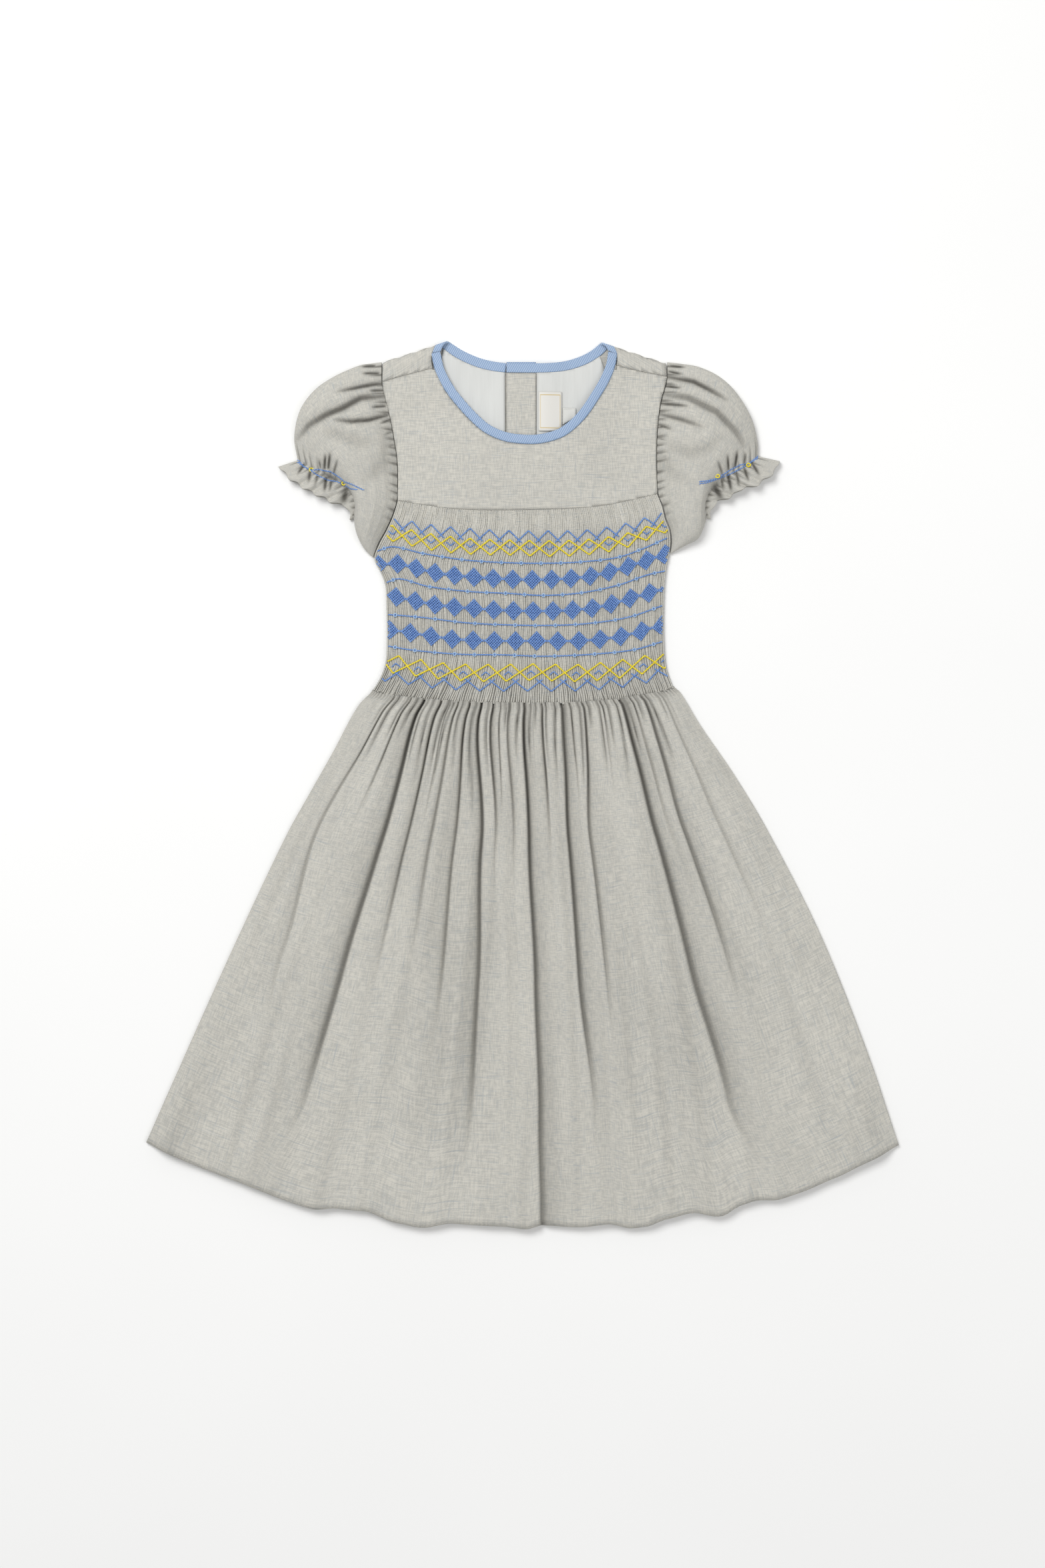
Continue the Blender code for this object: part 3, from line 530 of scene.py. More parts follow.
def skirtFront():
    outline = skirtOutline(0.0)
    creases = skirt["creases"]

    @functools.lru_cache(maxsize=None)
    def rowFacts(v):
        width = (outline(1, 1 - v) - outline(0, 1 - v)).length
        strengths = [depth * fade(v, end - 0.3, 0.3) for *_, depth, _, _, end in creases]
        return width, creaseShares(v), strengths

    def place(column, climb):
        v = (1 - climb) ** 1.35
        width, shares, strengths = rowFacts(v)
        waistShares = [0.0] + creaseShares(0.0) + [1.0]
        here = [0.0] + shares + [1.0]
        index = min(max(bisect.bisect_right(waistShares, column) - 1, 0), len(here) - 2)
        t = (column - waistShares[index]) / (waistShares[index + 1] - waistShares[index])
        t -= 0.09 * math.sin(2 * math.pi * t)
        u = here[index] + (here[index + 1] - here[index]) * t
        x, y = outline(u, 1 - v)
        side = min(u, 1 - u) * width
        rounding = 1 - fade(side, 0, skirt["sideRound"] + (skirt["hemRound"] - skirt["sideRound"]) * v)
        crest = skirt["waistShare"] + (1 - skirt["waistShare"]) * fade(v, 0.0, 0.9)
        z = skirt["lift"] * crest * rounding
        z += skirt["bulge"] * math.sin(math.pi * t) * rounding * (1 - 0.6 * v) * fade(-v, -0.12, 0.12)
        wide = ripple(u * 17, v * 1.1)
        narrow = ripple(u * 55, v * 2.2, 7.0)
        z += (skirt["softFolds"] * wide + skirt["streaks"] * narrow) * rounding
        # painted shade in soft bands along the folds
        dark = skirt["softShade"] * max(wide, 0.0) + skirt["streakShade"] * max(narrow, 0.0)
        for (*_, lineWidth, shadedSide, _), share, strength in zip(creases, shares, strengths):
            away = (u - share) * width
            if abs(away) > 40 or strength <= 0.001:
                continue
            line = lineWidth * (skirt["line"][0] + skirt["line"][1] * v)
            shaded = away * shadedSide > 0
            core = math.exp(-(away / (line * skirt["coreReach"][shaded])) ** 2) * strength
            shoulder = math.exp(-(away / (line * skirt["shoulderReach"][shaded])) ** 2) * strength
            z -= z * (skirt["coreDepth"] * core + skirt["shoulderDepth"] * shoulder)
            # painted shade in the crease's line and over its shaded side
            shade = skirt["coreShade"] * core * (1 - 0.45 * v) + skirt["shoulderShade"] * shoulder
            dark = max(dark, shade)
        phase = skirt["gathers"] * (column + 0.009 * ripple(column * 21, v * 5, 5.0))
        gather = abs(math.sin(math.pi * phase))
        uneven = skirt["slitUneven"] * ripple(round(phase) * 1.7, 0.4, 3.3)
        reach = max(skirt["slitReach"] + uneven, skirt["slitLeast"])
        strength = fade(v, 0.3 * reach, reach) * rounding
        z += skirt["gatherHeight"] * (gather ** 0.4 - 0.8) * strength
        z += skirt["gatherHeight"] * 0.5 * (gather ** 0.5 - 0.8) * fade(v, 0.05, 0.22) * rounding
        # painted shade in the slits between the gathers
        dark = max(dark, skirt["slitShade"] * (1 - min(gather * 1.6, 1.0)) * strength)
        odd = round(column * skirt["columns"]) % 2
        small = fade(v, 0.0, 0.03) * (1 - strength * 0.4)
        z -= skirt["pleatHeight"] * odd * small
        # painted shade in the small pleats at the waist
        dark = max(dark, skirt["pleatShade"] * odd * small)
        floor = rightLap(x) * fade(v, 0.0, 0.14) + 0.2
        z = max(z, floor)
        tuck = fade(v, 0.0, 0.008)
        return Vector((x, y + tuck, layers["sideSeam"] + layers["wall"] + z - 0.4 * tuck)), dark

    size = skirt["columns"], skirt["rows"]
    piece = gridCloth("skirtFront", *size, place, woolYoke, skirt["flat"], skirt["wall"])
    sewOn(piece, "wool_cloth", "skirt_front")


def skirtBack():
    outline = skirtOutline(1.5)

    def place(u, climb):
        v = (1 - climb) ** 1.3
        x, y = outline(u, 1 - v)
        gather = abs(math.sin(math.pi * 52 * u)) ** 0.5
        strength = fade(v, 0.0, 0.12 + 0.08 * ripple(u * 30, 0, 2.0))
        z = rightLap(x) * fade(-y, -58, 45) + 0.6 * (1 - gather) * strength
        # the second value is painted shade between the gathers at the waist
        return Vector((x, y - layers["seamGap"] * (1 - v) * 0.5, z)), 0.4 * (1 - gather) * strength

    piece = gridCloth("skirtBack", 208, 60, place, woolPaintedDarker, skirt["backFlat"], 1.0, 1.0)
    sewOn(piece, "wool_cloth", "skirt_back")


skirtFront()
skirtBack()
print("skirt made")


# Smocked front

smocked = {
    "pleats": 150, "columnsEach": 5, "rows": 84, "wall": 1.0, "pleatHeight": 1.3, "troughDepth": 2.0,
    # height and painted shade across one pleat, from the gap on its left
    "profile": (0.0, 0.72, 1.0, 0.96, 0.66), "paintedShade": (0.95, 0.3, 0.0, 0.0, 0.25),
    "wander": 0.68, "shiver": 0.30, "scallop": 1.6, "slant": 0.020, "sideRoll": 0.043, "seamSide": 168.0,
    # how open the troughs are on average, how much that varies and the least
    "gape": 0.72, "gapeUneven": 0.6, "gapeLeast": 0.35,
    # painted shade of the troughs between the edges, and what the top and the waist add; these also sink
    # the troughs a little
    "calm": 0.22, "calmEnds": 0.36, "underLatticeShade": 0.85, "underMatDepth": 0.35,
}
# chart of the embroidery, each row from side seam to side seam
chart = {
    "waveTop": [
        (-97, 199.5), (-67, 194), (-36.5, 191), (-8, 189.5), (19.5, 189.5), (46.5, 190), (76.5, 195),
        (105, 204),
    ],
    "trellisTop": [
        (-97.5, 193.5), (-66.5, 187), (-36, 183.5), (-8, 182.5), (20, 182), (48, 183), (77, 187.5),
        (106.5, 198),
    ],
    "trellisBottom": [
        (-97, 181.5), (-66.5, 174.5), (-36, 171.5), (-7.5, 171), (21, 170), (50, 171.5), (77, 176.5),
        (106.5, 188),
    ],
    "cables": [
        [(-110, 174), (-97, 177.5), (-74.5, 172.5), (-43, 167.5), (-13.5, 165.5), (16, 165), (43, 166),
         (71, 169.5),
         (90, 176), (108, 184)],
        [(-103, 150.5), (-92, 153.5), (-71.5, 148), (-41, 144), (-11, 142.5), (16, 141), (44.5, 143),
         (72.5, 149),
         (92, 156), (106.5, 159.5)],
        [(-102, 127), (-74, 124.5), (-42, 120.5), (-12.5, 119), (18, 118.5), (49, 120), (80, 125),
         (106, 134)],
        [(-102, 103.5), (-81, 100), (-46.5, 97), (-13, 96.5), (16, 95.5), (52, 97), (83.5, 100.5),
         (106, 107)],
    ],
    # curve of the diamonds' centres, and how many there are
    "diamonds": [
        ([(-108, 164), (-95, 165), (-65, 158), (-35, 154.5), (-5.5, 153), (22.5, 153), (51, 155.5),
          (79.5, 163),
          (106.5, 172)], 16),
        ([(-94.5, 140), (-64.5, 134), (-34, 131), (-4, 129.5), (26, 129.5), (55, 132), (82.5, 139.5),
          (109, 147)], 15),
        ([(-99.5, 115.5), (-86, 113.5), (-53, 108.5), (-21, 107), (11, 107), (42, 107), (74, 110.5),
          (104, 119)], 14),
    ],
    "lowTrellisTop": [
        (-92.5, 96), (-57.5, 90.5), (-23.5, 89.5), (9.5, 90), (43, 89.5), (77, 93.5), (108, 99.5),
    ],
    "lowTrellisBottom": [
        (-97, 83), (-62, 78.5), (-28, 76.5), (8, 77.5), (41.5, 76.5), (78.5, 80), (106, 86.5),
    ],
    "waveBottom": [
        (-103, 77), (-82, 74), (-64.5, 71.5), (-28.5, 69.5), (7, 69.5), (39.5, 69.5), (79.5, 73),
        (110, 80),
    ],
    "upperCount": 15, "lowerCount": 13, "waveDrop": 7.0, "knotEvery": 14.6, "latticeLines": 7,
    "halfWide": 7.2, "halfHigh": 7.4,
}


def smockedSides():
    left = curveThrough((seams["underarmLeft"] + seams["sideLeft"][1:])[::-1])
    right = curveThrough((seams["underarmRight"] + seams["sideRight"][1:])[::-1])
    return left, right


def latticeRows():
    # the diamonds' centres and how the row leans at each
    found = []
    for path, count in chart["diamonds"]:
        curve = curveThrough(path)
        centres = [curve(index / (count - 1)) for index in range(count)]
        slopes = []
        for index in range(count):
            run = centres[min(index + 1, count - 1)] - centres[max(index - 1, 0)]
            slopes.append(run.y / run.x)
        found.append(list(zip(centres, slopes)))
    return found


lattices = latticeRows()


def underLattice(x, y):
    for row in lattices:
        for centre, slope in row:
            if abs(x - centre.x) < chart["halfWide"]:
                down = abs(y - centre.y - slope * (x - centre.x)) / chart["halfHigh"]
                if abs(x - centre.x) / chart["halfWide"] + down < 0.84:
                    return True
    return False


def smockedInside(u, x, y):
    edge = fade(min(u, 1 - u), 0, smocked["sideRoll"]) * fade(y, smocked["seamSide"], 30)
    z = frontFloor(x, y)
    return z - (z - layers["sideSeam"]) * edge


def smockedFront():
    left, right = smockedSides()
    outline = patchBetween(left, right, curveThrough(seams["waist"]), curveThrough(seams["yoke"]))
    pleats = smocked["pleats"]
    columns = pleats * smocked["columnsEach"]

    def place(u, v):
        pleat, step = divmod(round(u * columns), smocked["columnsEach"])
        wander = smocked["wander"] * ripple(pleat * 0.61, v * 8.5, 1.0)
        wander += smocked["shiver"] * ripple(pleat * 3.7, v * 22.0, 6.0)
        slant = -smocked["slant"] * math.sin(2 * math.pi * u) * fade(v, 0.0, 0.3)
        ends = min(min(u, 1 - u) * 40, 1.0)
        moved = min(max(u + (wander / pleats + slant) * ends, 0.0), 1.0)
        x, y = outline(moved, v)
        y += smocked["scallop"] * ripple(pleat * 0.9, 0.5, 13.0) * fade(v, 0.0, 0.03)
        gape = smocked["gape"] + smocked["gapeUneven"] * ripple(pleat * 1.3, v * 7.0, 11.0)
        gape = min(max(gape, smocked["gapeLeast"]), 1.0)
        calm = smocked["calm"] + smocked["calmEnds"] * (fade(v, 0.78, 0.15) + fade(v, 0.03, 0.25))
        top = smockedInside(moved, x, y) + smocked["wall"]
        top += smocked["pleatHeight"] * (0.55 + 0.45 * fade(v, 0.9, 0.1))
        z = top - smocked["troughDepth"] * gape * (0.75 + 0.25 * calm) * (1 - smocked["profile"][step])
        # painted shade in the gaps between the pleats
        dark = smocked["paintedShade"][step] * calm * min(gape + 0.25, 1.0)
        # a patch of painted shade under each diamond, seen through the lattice's gaps
        if 0.015 < moved < 0.985 and underLattice(x, y):
            dark, z = smocked["underLatticeShade"], z - smocked["underMatDepth"]
        return Vector((x, y, z)), dark

    piece = gridCloth("smockedFront", columns, smocked["rows"], place, woolPaintedLighter, (620.0, 157.0))
    sewOn(piece, "wool_cloth", "smocked_front")


smockedFront()
print("smocking made")


# Yoke and back

neck = {
    "width": 7.0,
    "line": [
        (-62.3, 311), (-55, 296.2), (-47, 285.6), (-36.8, 274.4), (-26.4, 265.5), (-12.7, 259.5),
        (3, 257.5), (15, 258.2), (28.4, 262.3), (37.8, 269), (45.9, 277.6), (53.4, 288.6),
        (61.2, 301.6), (65.9, 313),
    ],
    "backLeft": [
        (-12.6, 311.6), (-22, 313), (-32, 315.5), (-42, 319.5), (-50, 323.8), (-57, 329), (-62, 334.5),
        (-64.4, 339),
    ],
    "backRight": [
        (-12, 311.6), (3, 311.4), (10.5, 311.4), (18, 311.6), (28, 312.6), (38, 314.8), (48, 318.6),
        (56, 323.6), (62.5, 330), (66.5, 334.5), (67.4, 337),
    ],
    "endLeft": [(-64.5, 344), (-63.3, 349.5)], "endRight": [(67.2, 342), (65.9, 347.5)],
    "lapReach": 12.0,
}
bodice = {
    "pitch": 3.0, "wall": 1.1, "wrinkle": 0.35,
    # soft pulls in the yoke: start, end, depth and width
    "pulls": [
        ((-58, 262), (-88, 226), 0.5, 7.0), ((70, 268), (96, 232), 0.45, 7.0), ((-30, 240), (60, 232),
         0.35, 6.0),
        ((-80, 290), (-98, 262), 0.4, 5.0), ((20, 222), (88, 226), 0.4, 5.0),
    ],
}


def pullDepth(x, y, pulls):
    # how far a point sinks into the pulls, each a straight soft trough
    depth = 0.0
    for start, end, deep, wide in pulls:
        run = Vector(end) - Vector(start)
        t = min(max((Vector((x, y)) - Vector(start)).dot(run) / run.length_squared, 0.0), 1.0)
        away = (Vector((x, y)) - Vector(start) - run * t).length
        if away < 3 * wide:
            depth += deep * math.exp(-(away / wide) ** 2) * (0.35 + 0.65 * math.sin(math.pi * t))
    return depth


def yoke():
    edge = beside(curveThrough(neck["line"]), -neck["width"] / 2 - layers["neckGap"])
    outline = [point - Vector((0, 0.15)) for point in pointsAlong(curveThrough(seams["yoke"]), 40)]
    outline += pointsAlong(beside(curveThrough(seams["armholeRight"]), -0.3), 20)[1:]
    outline += pointsAlong(curveThrough(seams["shoulderRight"]), 6)[1:]
    outline += pointsAlong(edge, 48)[::-1]
    outline += pointsAlong(curveThrough(seams["shoulderLeft"][::-1]), 6)
    outline += pointsAlong(beside(curveThrough(seams["armholeLeft"][::-1]), -0.3), 20)[1:-1]

    def place(x, y):
        wrinkle = bodice["wrinkle"] * ripple(x * 0.035, y * 0.06, 2.0)
        z = frontFloor(x, y) + layers["wall"] + wrinkle - pullDepth(x, y, bodice["pulls"])
        return Vector((x, y, z)), 0.0

    piece = cutCloth("frontYoke", outline, bodice["pitch"], place, woolYoke, bodice["wall"], -1.0, 0.15)
    sewOn(piece, "wool_cloth", "front_yoke")


def unfoldedFront(point):
    # where a place on the front of the shoulder lies on the unfolded back cloth
    x, y = point
    radius = (frontFloor(x, layers["foldY"]) + layers["wall"]) / 2
    start = layers["foldY"] - layers["foldSlope"] * (abs(x) - layers["foldX"]) - radius
    return Vector((x, start + math.pi * radius + (start - y - layers["neckGap"])))


def backHalf(name, node, outside, shoulder, neckLine, lapEdge, lap):
    hand = 1 if shoulder[0][0] < 0 else -1
    shoulderLine = curveThrough([unfoldedFront(point) for point in shoulder])
    neckEdge = beside(curveThrough(neckLine[::-1]), -hand * (neck["width"] / 2 + layers["neckGap"]))
    waist = curveThrough(seams["waist"])
    lowerEdge = [point for point in pointsAlong(waist, 30)[::-hand] if (lapEdge - point.x) * hand > 2]
    outline = pointsAlong(curveThrough(outside), 40)
    outline += pointsAlong(shoulderLine, 8)
    outline += pointsAlong(neckEdge, 40)
    outline += [Vector((lapEdge, waist(0.5).y))] + lowerEdge[:-1]

    def place(x, y):
        point = foldedOver(x, y, layers["wall"])
        point.z += lap(x)
        return point, 0.0

    piece = cutCloth(name, outline, 4.0, place, woolYoke, bodice["wall"], 1.0, 0.0)
    sewOn(piece, "wool_cloth", node)


def backLining(name, node, neckLine, outer, inner, lap):
    # white lining of the back, as far as the neck opening shows it
    hand = 1 if outer < inner else -1
    edge = beside(curveThrough(neckLine[::-1]), -hand * (neck["width"] / 2 + layers["neckGap"]))
    outline = [Vector((inner, 248)), Vector((outer, 248)), Vector((outer, 290))] + pointsAlong(edge, 24)

    def place(x, y):
        soft = 0.25 + 0.25 * ripple(x * 0.13, y * 0.02, 8.0)
        # the second value is painted shade in the hollows of the soft folds
        return Vector((x, y, lap(x) + layers["wall"] + 0.5 + soft)), 0.5 * max(0.3 - soft, 0.0)

    piece = cutCloth(name, outline, 3.0, place, lawn, 0.5, 1.0, 0.0)
    sewOn(piece, "white_lining", node)


def facingStrip():
    # strip of the dress cloth that faces the opening, its left edge turned under
    reach = neck["lapReach"]

    def place(u, v):
        x = -reach + 0.3 + (2 * reach - 2.3) * u
        y = 232 + 75.2 * v
        turned = 0.35 * fade(min(u, 1 - u), 0.0, 0.08)
        z = layers["rightLap"] + layers["wall"] + 0.65 + 0.15 * ripple(x * 0.2, y * 0.05) - turned
        return Vector((x, y, z)), 0.0

    piece = gridCloth("facingStrip", 16, 40, place, woolYoke, (21.7, 75.2), 0.6, 1.0)
    sewOn(piece, "wool_cloth", "opening_facing")


labels = [
    # name, node, left, right, low, high, slant, material
    ("wovenLabel", "woven_label", 12.0, 29.4, 264.0, 293.5, 0.0, labelSatin),
    ("careTab", "care_tab", 30.0, 40.0, 269.0, 281.5, 6.0, tabSatin),
]


def labelPiece(name, node, left, right, low, high, slant, material):
    def place(u, v):
        x = left + (right - left) * u
        y = low + (high - low) * v + slant * u * (1 - v)
        curl = 0.5 * u * u * (1 - v) + 0.15 * math.sin(5 * u)
        return Vector((x, y, rightLap(x) + layers["wall"] + layers["liningWall"] + 0.95 + curl)), 0.0

    piece = gridCloth(name, 14, 20, place, material, (1000.0, 1000.0), 0.45, 1.0)
    sewOn(piece, "woven_label", node)


yoke()
outsideLeft = seams["sideLeft"][::-1] + seams["underarmLeft"][::-1][1:] + seams["armholeLeft"][1:-1]
outsideRight = seams["sideRight"][::-1] + seams["underarmRight"][::-1][1:] + seams["armholeRight"][1:-1]
neckLeft = [(neck["lapReach"], 311.6)] + neck["backLeft"] + neck["endLeft"]
neckRight = neck["backRight"] + neck["endRight"]
reach = neck["lapReach"]
backHalf("backLeft", "back_left", outsideLeft, seams["shoulderLeft"], neckLeft, reach, leftLap)
backHalf("backRight", "back_right", outsideRight, seams["shoulderRight"], neckRight, -reach, rightLap)
backLining("backLiningLeft", "back_lining_left", neck["backLeft"][:6], -66, -13, leftLap)
backLining("backLiningRight", "back_lining_right", neck["backRight"][2:8], 69, 10.5, rightLap)
facingStrip()
for label in labels:
    labelPiece(*label)
print("yoke, back and lining made")


# Neck binding

binding = {"wall": 1.0, "backWall": 1.6, "crown": 0.45, "sink": 0.2}


def bindingBand(name, node, path, columns, wall, height, side, flatLength):
    middle = curveThrough(path)
    left = beside(middle, neck["width"] / 2)
    right = beside(middle, -neck["width"] / 2)

    def place(u, v):
        across = right(u) * (1 - v) + left(u) * v
        point = height(across.x, across.y)
        crown = binding["crown"] * (math.sin(math.pi * v) ** 0.5 - 1) * (1 if side < 0 else 0)
        return point + Vector((0, 0, crown)), 0.0

    piece = gridCloth(name, columns, 8, place, twillTape, (flatLength, neck["width"]), wall, side)
    sewOn(piece, "blue_twill_tape", node)


def onFront(x, y):
    return Vector((x, y, frontFloor(x, y) - binding["sink"] + layers["bindingWall"]))


def overShoulder(lap):
    def height(x, y):
        point = foldedOver(x, y, layers["bindingWall"] - binding["sink"])
        point.z += lap(x)
        return point

    return height


def tabEnd(x, y):
    return Vector((x, y + 1.0, layers["leftLap"]))


neckFront = [(-64.9, 322.8)] + neck["line"] + [(67.6, 322.8)]
bindings = [
    # name, node, path, columns, wall, height, side of the wall, length
    ("bindingFront", "neck_binding_front", neckFront, 150, binding["wall"], onFront, -1.0, 205.0),
    ("bindingBackLeft", "neck_binding_back_left", neck["backLeft"], 60, binding["backWall"],
     overShoulder(leftLap), 1.0, 61.0),
    ("bindingBackRight", "neck_binding_back_right", neck["backRight"], 90, binding["backWall"],
     overShoulder(rightLap), 1.0, 88.0),
    ("bindingTab", "neck_binding_end", [(-12, 311.6), (10, 311.6)], 14, binding["wall"],
     tabEnd, 1.0, 22.0),
]
for row in bindings:
    bindingBand(*row)
print("neck binding made")


# Sleeves

sleeves = {
    "sleeveLeft": {
        "node": "sleeve_left",
        "armhole": [
            (-105.6, 316), (-105.4, 301), (-103.6, 293), (-98.6, 270.5), (-94.2, 243), (-93.7, 225),
            (-94.2, 212), (-97.8, 200.5), (-102.9, 189.5), (-108, 180.5), (-112.2, 170),
        ],
        "top": [
            (-105.6, 316), (-113, 315), (-122, 313.5), (-142, 304.5), (-156, 294.5), (-166.5, 280),
            (-171, 260), (-168.5, 242.5),
        ],
        "under": [(-112.2, 170), (-117.5, 175), (-122, 182), (-125, 190), (-126.5, 199)],
        "cuff": [
            (-168.5, 242.5), (-153, 234), (-139.5, 227), (-129.5, 219), (-125.5, 210), (-126.5, 199),
        ],
        "ruffle": [
            (-182, 238), (-176, 230), (-167, 223.5), (-157.5, 218), (-149, 214), (-141, 210),
            (-132.5, 208), (-128.5, 198),
        ],
        # creases: points along it, depth, width, painted shade
        "creases": [
            ([(-111, 313), (-120, 312.5)], 2.2, 0.9, 0.95), ([(-108, 307.5), (-119, 307)], 2.2, 0.8, 0.9),
            ([(-105.5, 300), (-113, 298.5), (-127.5, 295), (-137, 293)], 2.4, 1.2, 0.8),
            ([(-104.5, 294.8), (-114, 294)], 2.0, 0.8, 0.9),
            ([(-104, 290.5), (-121, 288), (-133.5, 280.5), (-146.5, 275), (-159.5, 267.5),
              (-168, 258)], 4.2, 1.9, 0.72),
            ([(-103, 283), (-112, 281.5)], 2.2, 0.9, 0.95),
            ([(-101.5, 276), (-114.5, 271.5), (-127.5, 270), (-140, 271.5)], 3.0, 1.3, 0.85),
            ([(-99, 273), (-106, 269.5)], 1.6, 0.8, 0.8), ([(-97.5, 264), (-103, 261)], 1.2, 0.8, 0.5),
            ([(-96, 254), (-101, 252)], 1.0, 0.8, 0.4),
            ([(-144, 262), (-131, 257), (-118, 253), (-111, 255)], 2.2, 4.0, 0.16),
            ([(-100, 258), (-102, 238), (-111, 230), (-122, 224)], 1.8, 5.0, 0.14),
            ([(-148, 236), (-147, 245)], 2.4, 0.8, 0.9), ([(-145, 236), (-143.5, 246)], 2.4, 0.9, 0.9),
            ([(-141, 232), (-138, 241)], 1.6, 0.8, 0.6), ([(-151, 236), (-152, 242)], 1.4, 0.8, 0.6),
            ([(-163.5, 239), (-168, 232)], 2.0, 0.9, 0.8), ([(-158.5, 235), (-160, 226)], 2.0, 1.0, 0.8),
            ([(-153, 232), (-155, 223)], 1.6, 0.9, 0.6), ([(-147, 229), (-148, 219)], 2.2, 1.1, 0.9),
            ([(-143, 227), (-144, 219)], 1.6, 0.9, 0.7), ([(-148, 231), (-138, 226.5)], 2.0, 1.6, 0.55),
            ([(-132, 219), (-134, 210)], 2.6, 2.2, 0.8),
        ],
    },
    "sleeveRight": {
        "node": "sleeve_right",
        "armhole": [
            (108.6, 316), (108.5, 305), (107.2, 298), (103.8, 285.5), (101.2, 263), (100.8, 238),
            (101.8, 217), (105.3, 208), (107.9, 198), (110.9, 190), (111.9, 181), (110.9, 172.5),
        ],
        "top": [
            (108.6, 316), (120, 314.6), (133, 312), (148, 304.5), (160, 293), (171, 275), (176, 257),
            (176.5, 245.5),
        ],
        "under": [(110.9, 172.5), (123, 179), (131, 183), (135, 190), (138, 199)],
        "cuff": [(176.5, 245.5), (163, 235.5), (151, 227), (141, 219), (137, 210), (138, 199)],
        "ruffle": [
            (192, 242), (189, 234), (180.5, 227), (173, 222.5), (166.5, 222), (160.5, 218),
            (153, 213.5), (145, 211), (140, 198.5),
        ],
        "creases": [
            ([(111, 313), (121, 312)], 2.2, 0.9, 0.9), ([(110, 309), (119, 306.5)], 2.0, 0.8, 0.8),
            ([(108.8, 305), (128, 300.5), (140, 294), (152, 287)], 3.2, 1.5, 0.75),
            ([(107.5, 298), (118, 296)], 2.0, 0.8, 0.9),
            ([(106, 292), (124, 288), (145, 277), (160, 262), (166, 252)], 3.8, 2.0, 0.5),
            ([(104, 285), (123, 282)], 2.6, 1.0, 0.9), ([(102.5, 277), (118, 272),
              (134, 266)], 2.4, 1.4, 0.6),
            ([(102, 269), (111, 265)], 1.6, 0.9, 0.7), ([(101.5, 259), (107, 257)], 1.0, 0.8, 0.4),
            ([(112, 250), (126, 246), (140, 250), (150, 258)], 2.0, 4.0, 0.16),
            ([(104, 244), (112, 230), (126, 222)], 1.8, 5.0, 0.14),
            ([(159, 237), (160.5, 248)], 2.4, 0.9, 0.9), ([(154, 235), (153, 245)], 2.0, 0.8, 0.8),
            ([(149, 232), (146, 240)], 1.6, 0.9, 0.6), ([(166, 240), (167, 247)], 1.4, 0.8, 0.6),
            ([(172, 240), (177, 231)], 2.0, 1.0, 0.8), ([(166, 236), (169, 227)], 2.0, 1.0, 0.8),
            ([(160, 233), (162, 223)], 1.8, 0.9, 0.7), ([(154, 230), (156, 219)], 2.2, 1.1, 0.9),
            ([(149, 228), (150, 219)], 1.6, 0.9, 0.6), ([(144, 222), (149, 213)], 2.6, 2.2, 0.8),
        ],
    },
}
puff = {
    # share from armhole to cuff row, share on to the ruffle's edge, height, side height
    "stations": [
        (0.00, 0.0, 4.4, 2.2), (0.05, 0.0, 8.5, 2.6), (0.14, 0.0, 13.5, 3.2), (0.28, 0.0, 18.0, 4.0),
        (0.46, 0.0, 20.0, 4.6), (0.64, 0.0, 18.5, 4.6), (0.80, 0.0, 14.5, 4.0), (0.92, 0.0, 10.5, 3.2),
        (1.00, 0.0, 8.6, 2.8), (1.00, 0.5, 9.4, 2.8), (1.00, 1.0, 8.8, 2.6),
    ],
    "rows": 100, "around": 230, "overShare": 0.8, "wall": 0.9, "flat": (330.0, 130.0),
    "capGathers": 44, "capHeight": 0.9, "cuffGathers": 26, "cuffHeight": 1.0,
    "ruffleWaves": 6, "ruffleHeight": 1.8, "lobe": 1.0, "soft": 0.7,
    # how square the section is, how flat its crown, and how far its underside is let down
    "square": 2.4, "crown": 0.45, "underSquare": 6, "underDrop": 0.35, "lowest": 1.6,
    # painted shade of the gathers, a crease's side reach in widths, how deep its line and its sides go,
    # the sides' share of its painted shade, and the most painted shade that anything gets
    "capShade": 0.7, "cuffShade": 0.6, "creaseReach": 2.6, "coreDepth": 0.7, "sideDepth": 0.5,
    "sideShade": 0.22, "darkest": 0.85,
}


def nearCrease(x, y, points):
    # distance from a crease and how far along it the nearest point is
    best, where = 1e9, 0.0
    here = Vector((x, y))
    for index, (start, end) in enumerate(zip(points, points[1:])):
        start, end = Vector(start), Vector(end)
        run = end - start
        t = min(max((here - start).dot(run) / run.length_squared, 0.0), 1.0)
        away = (here - start - run * t).length
        if away < best:
            best, where = away, (index + t) / (len(points) - 1)
    return best, where


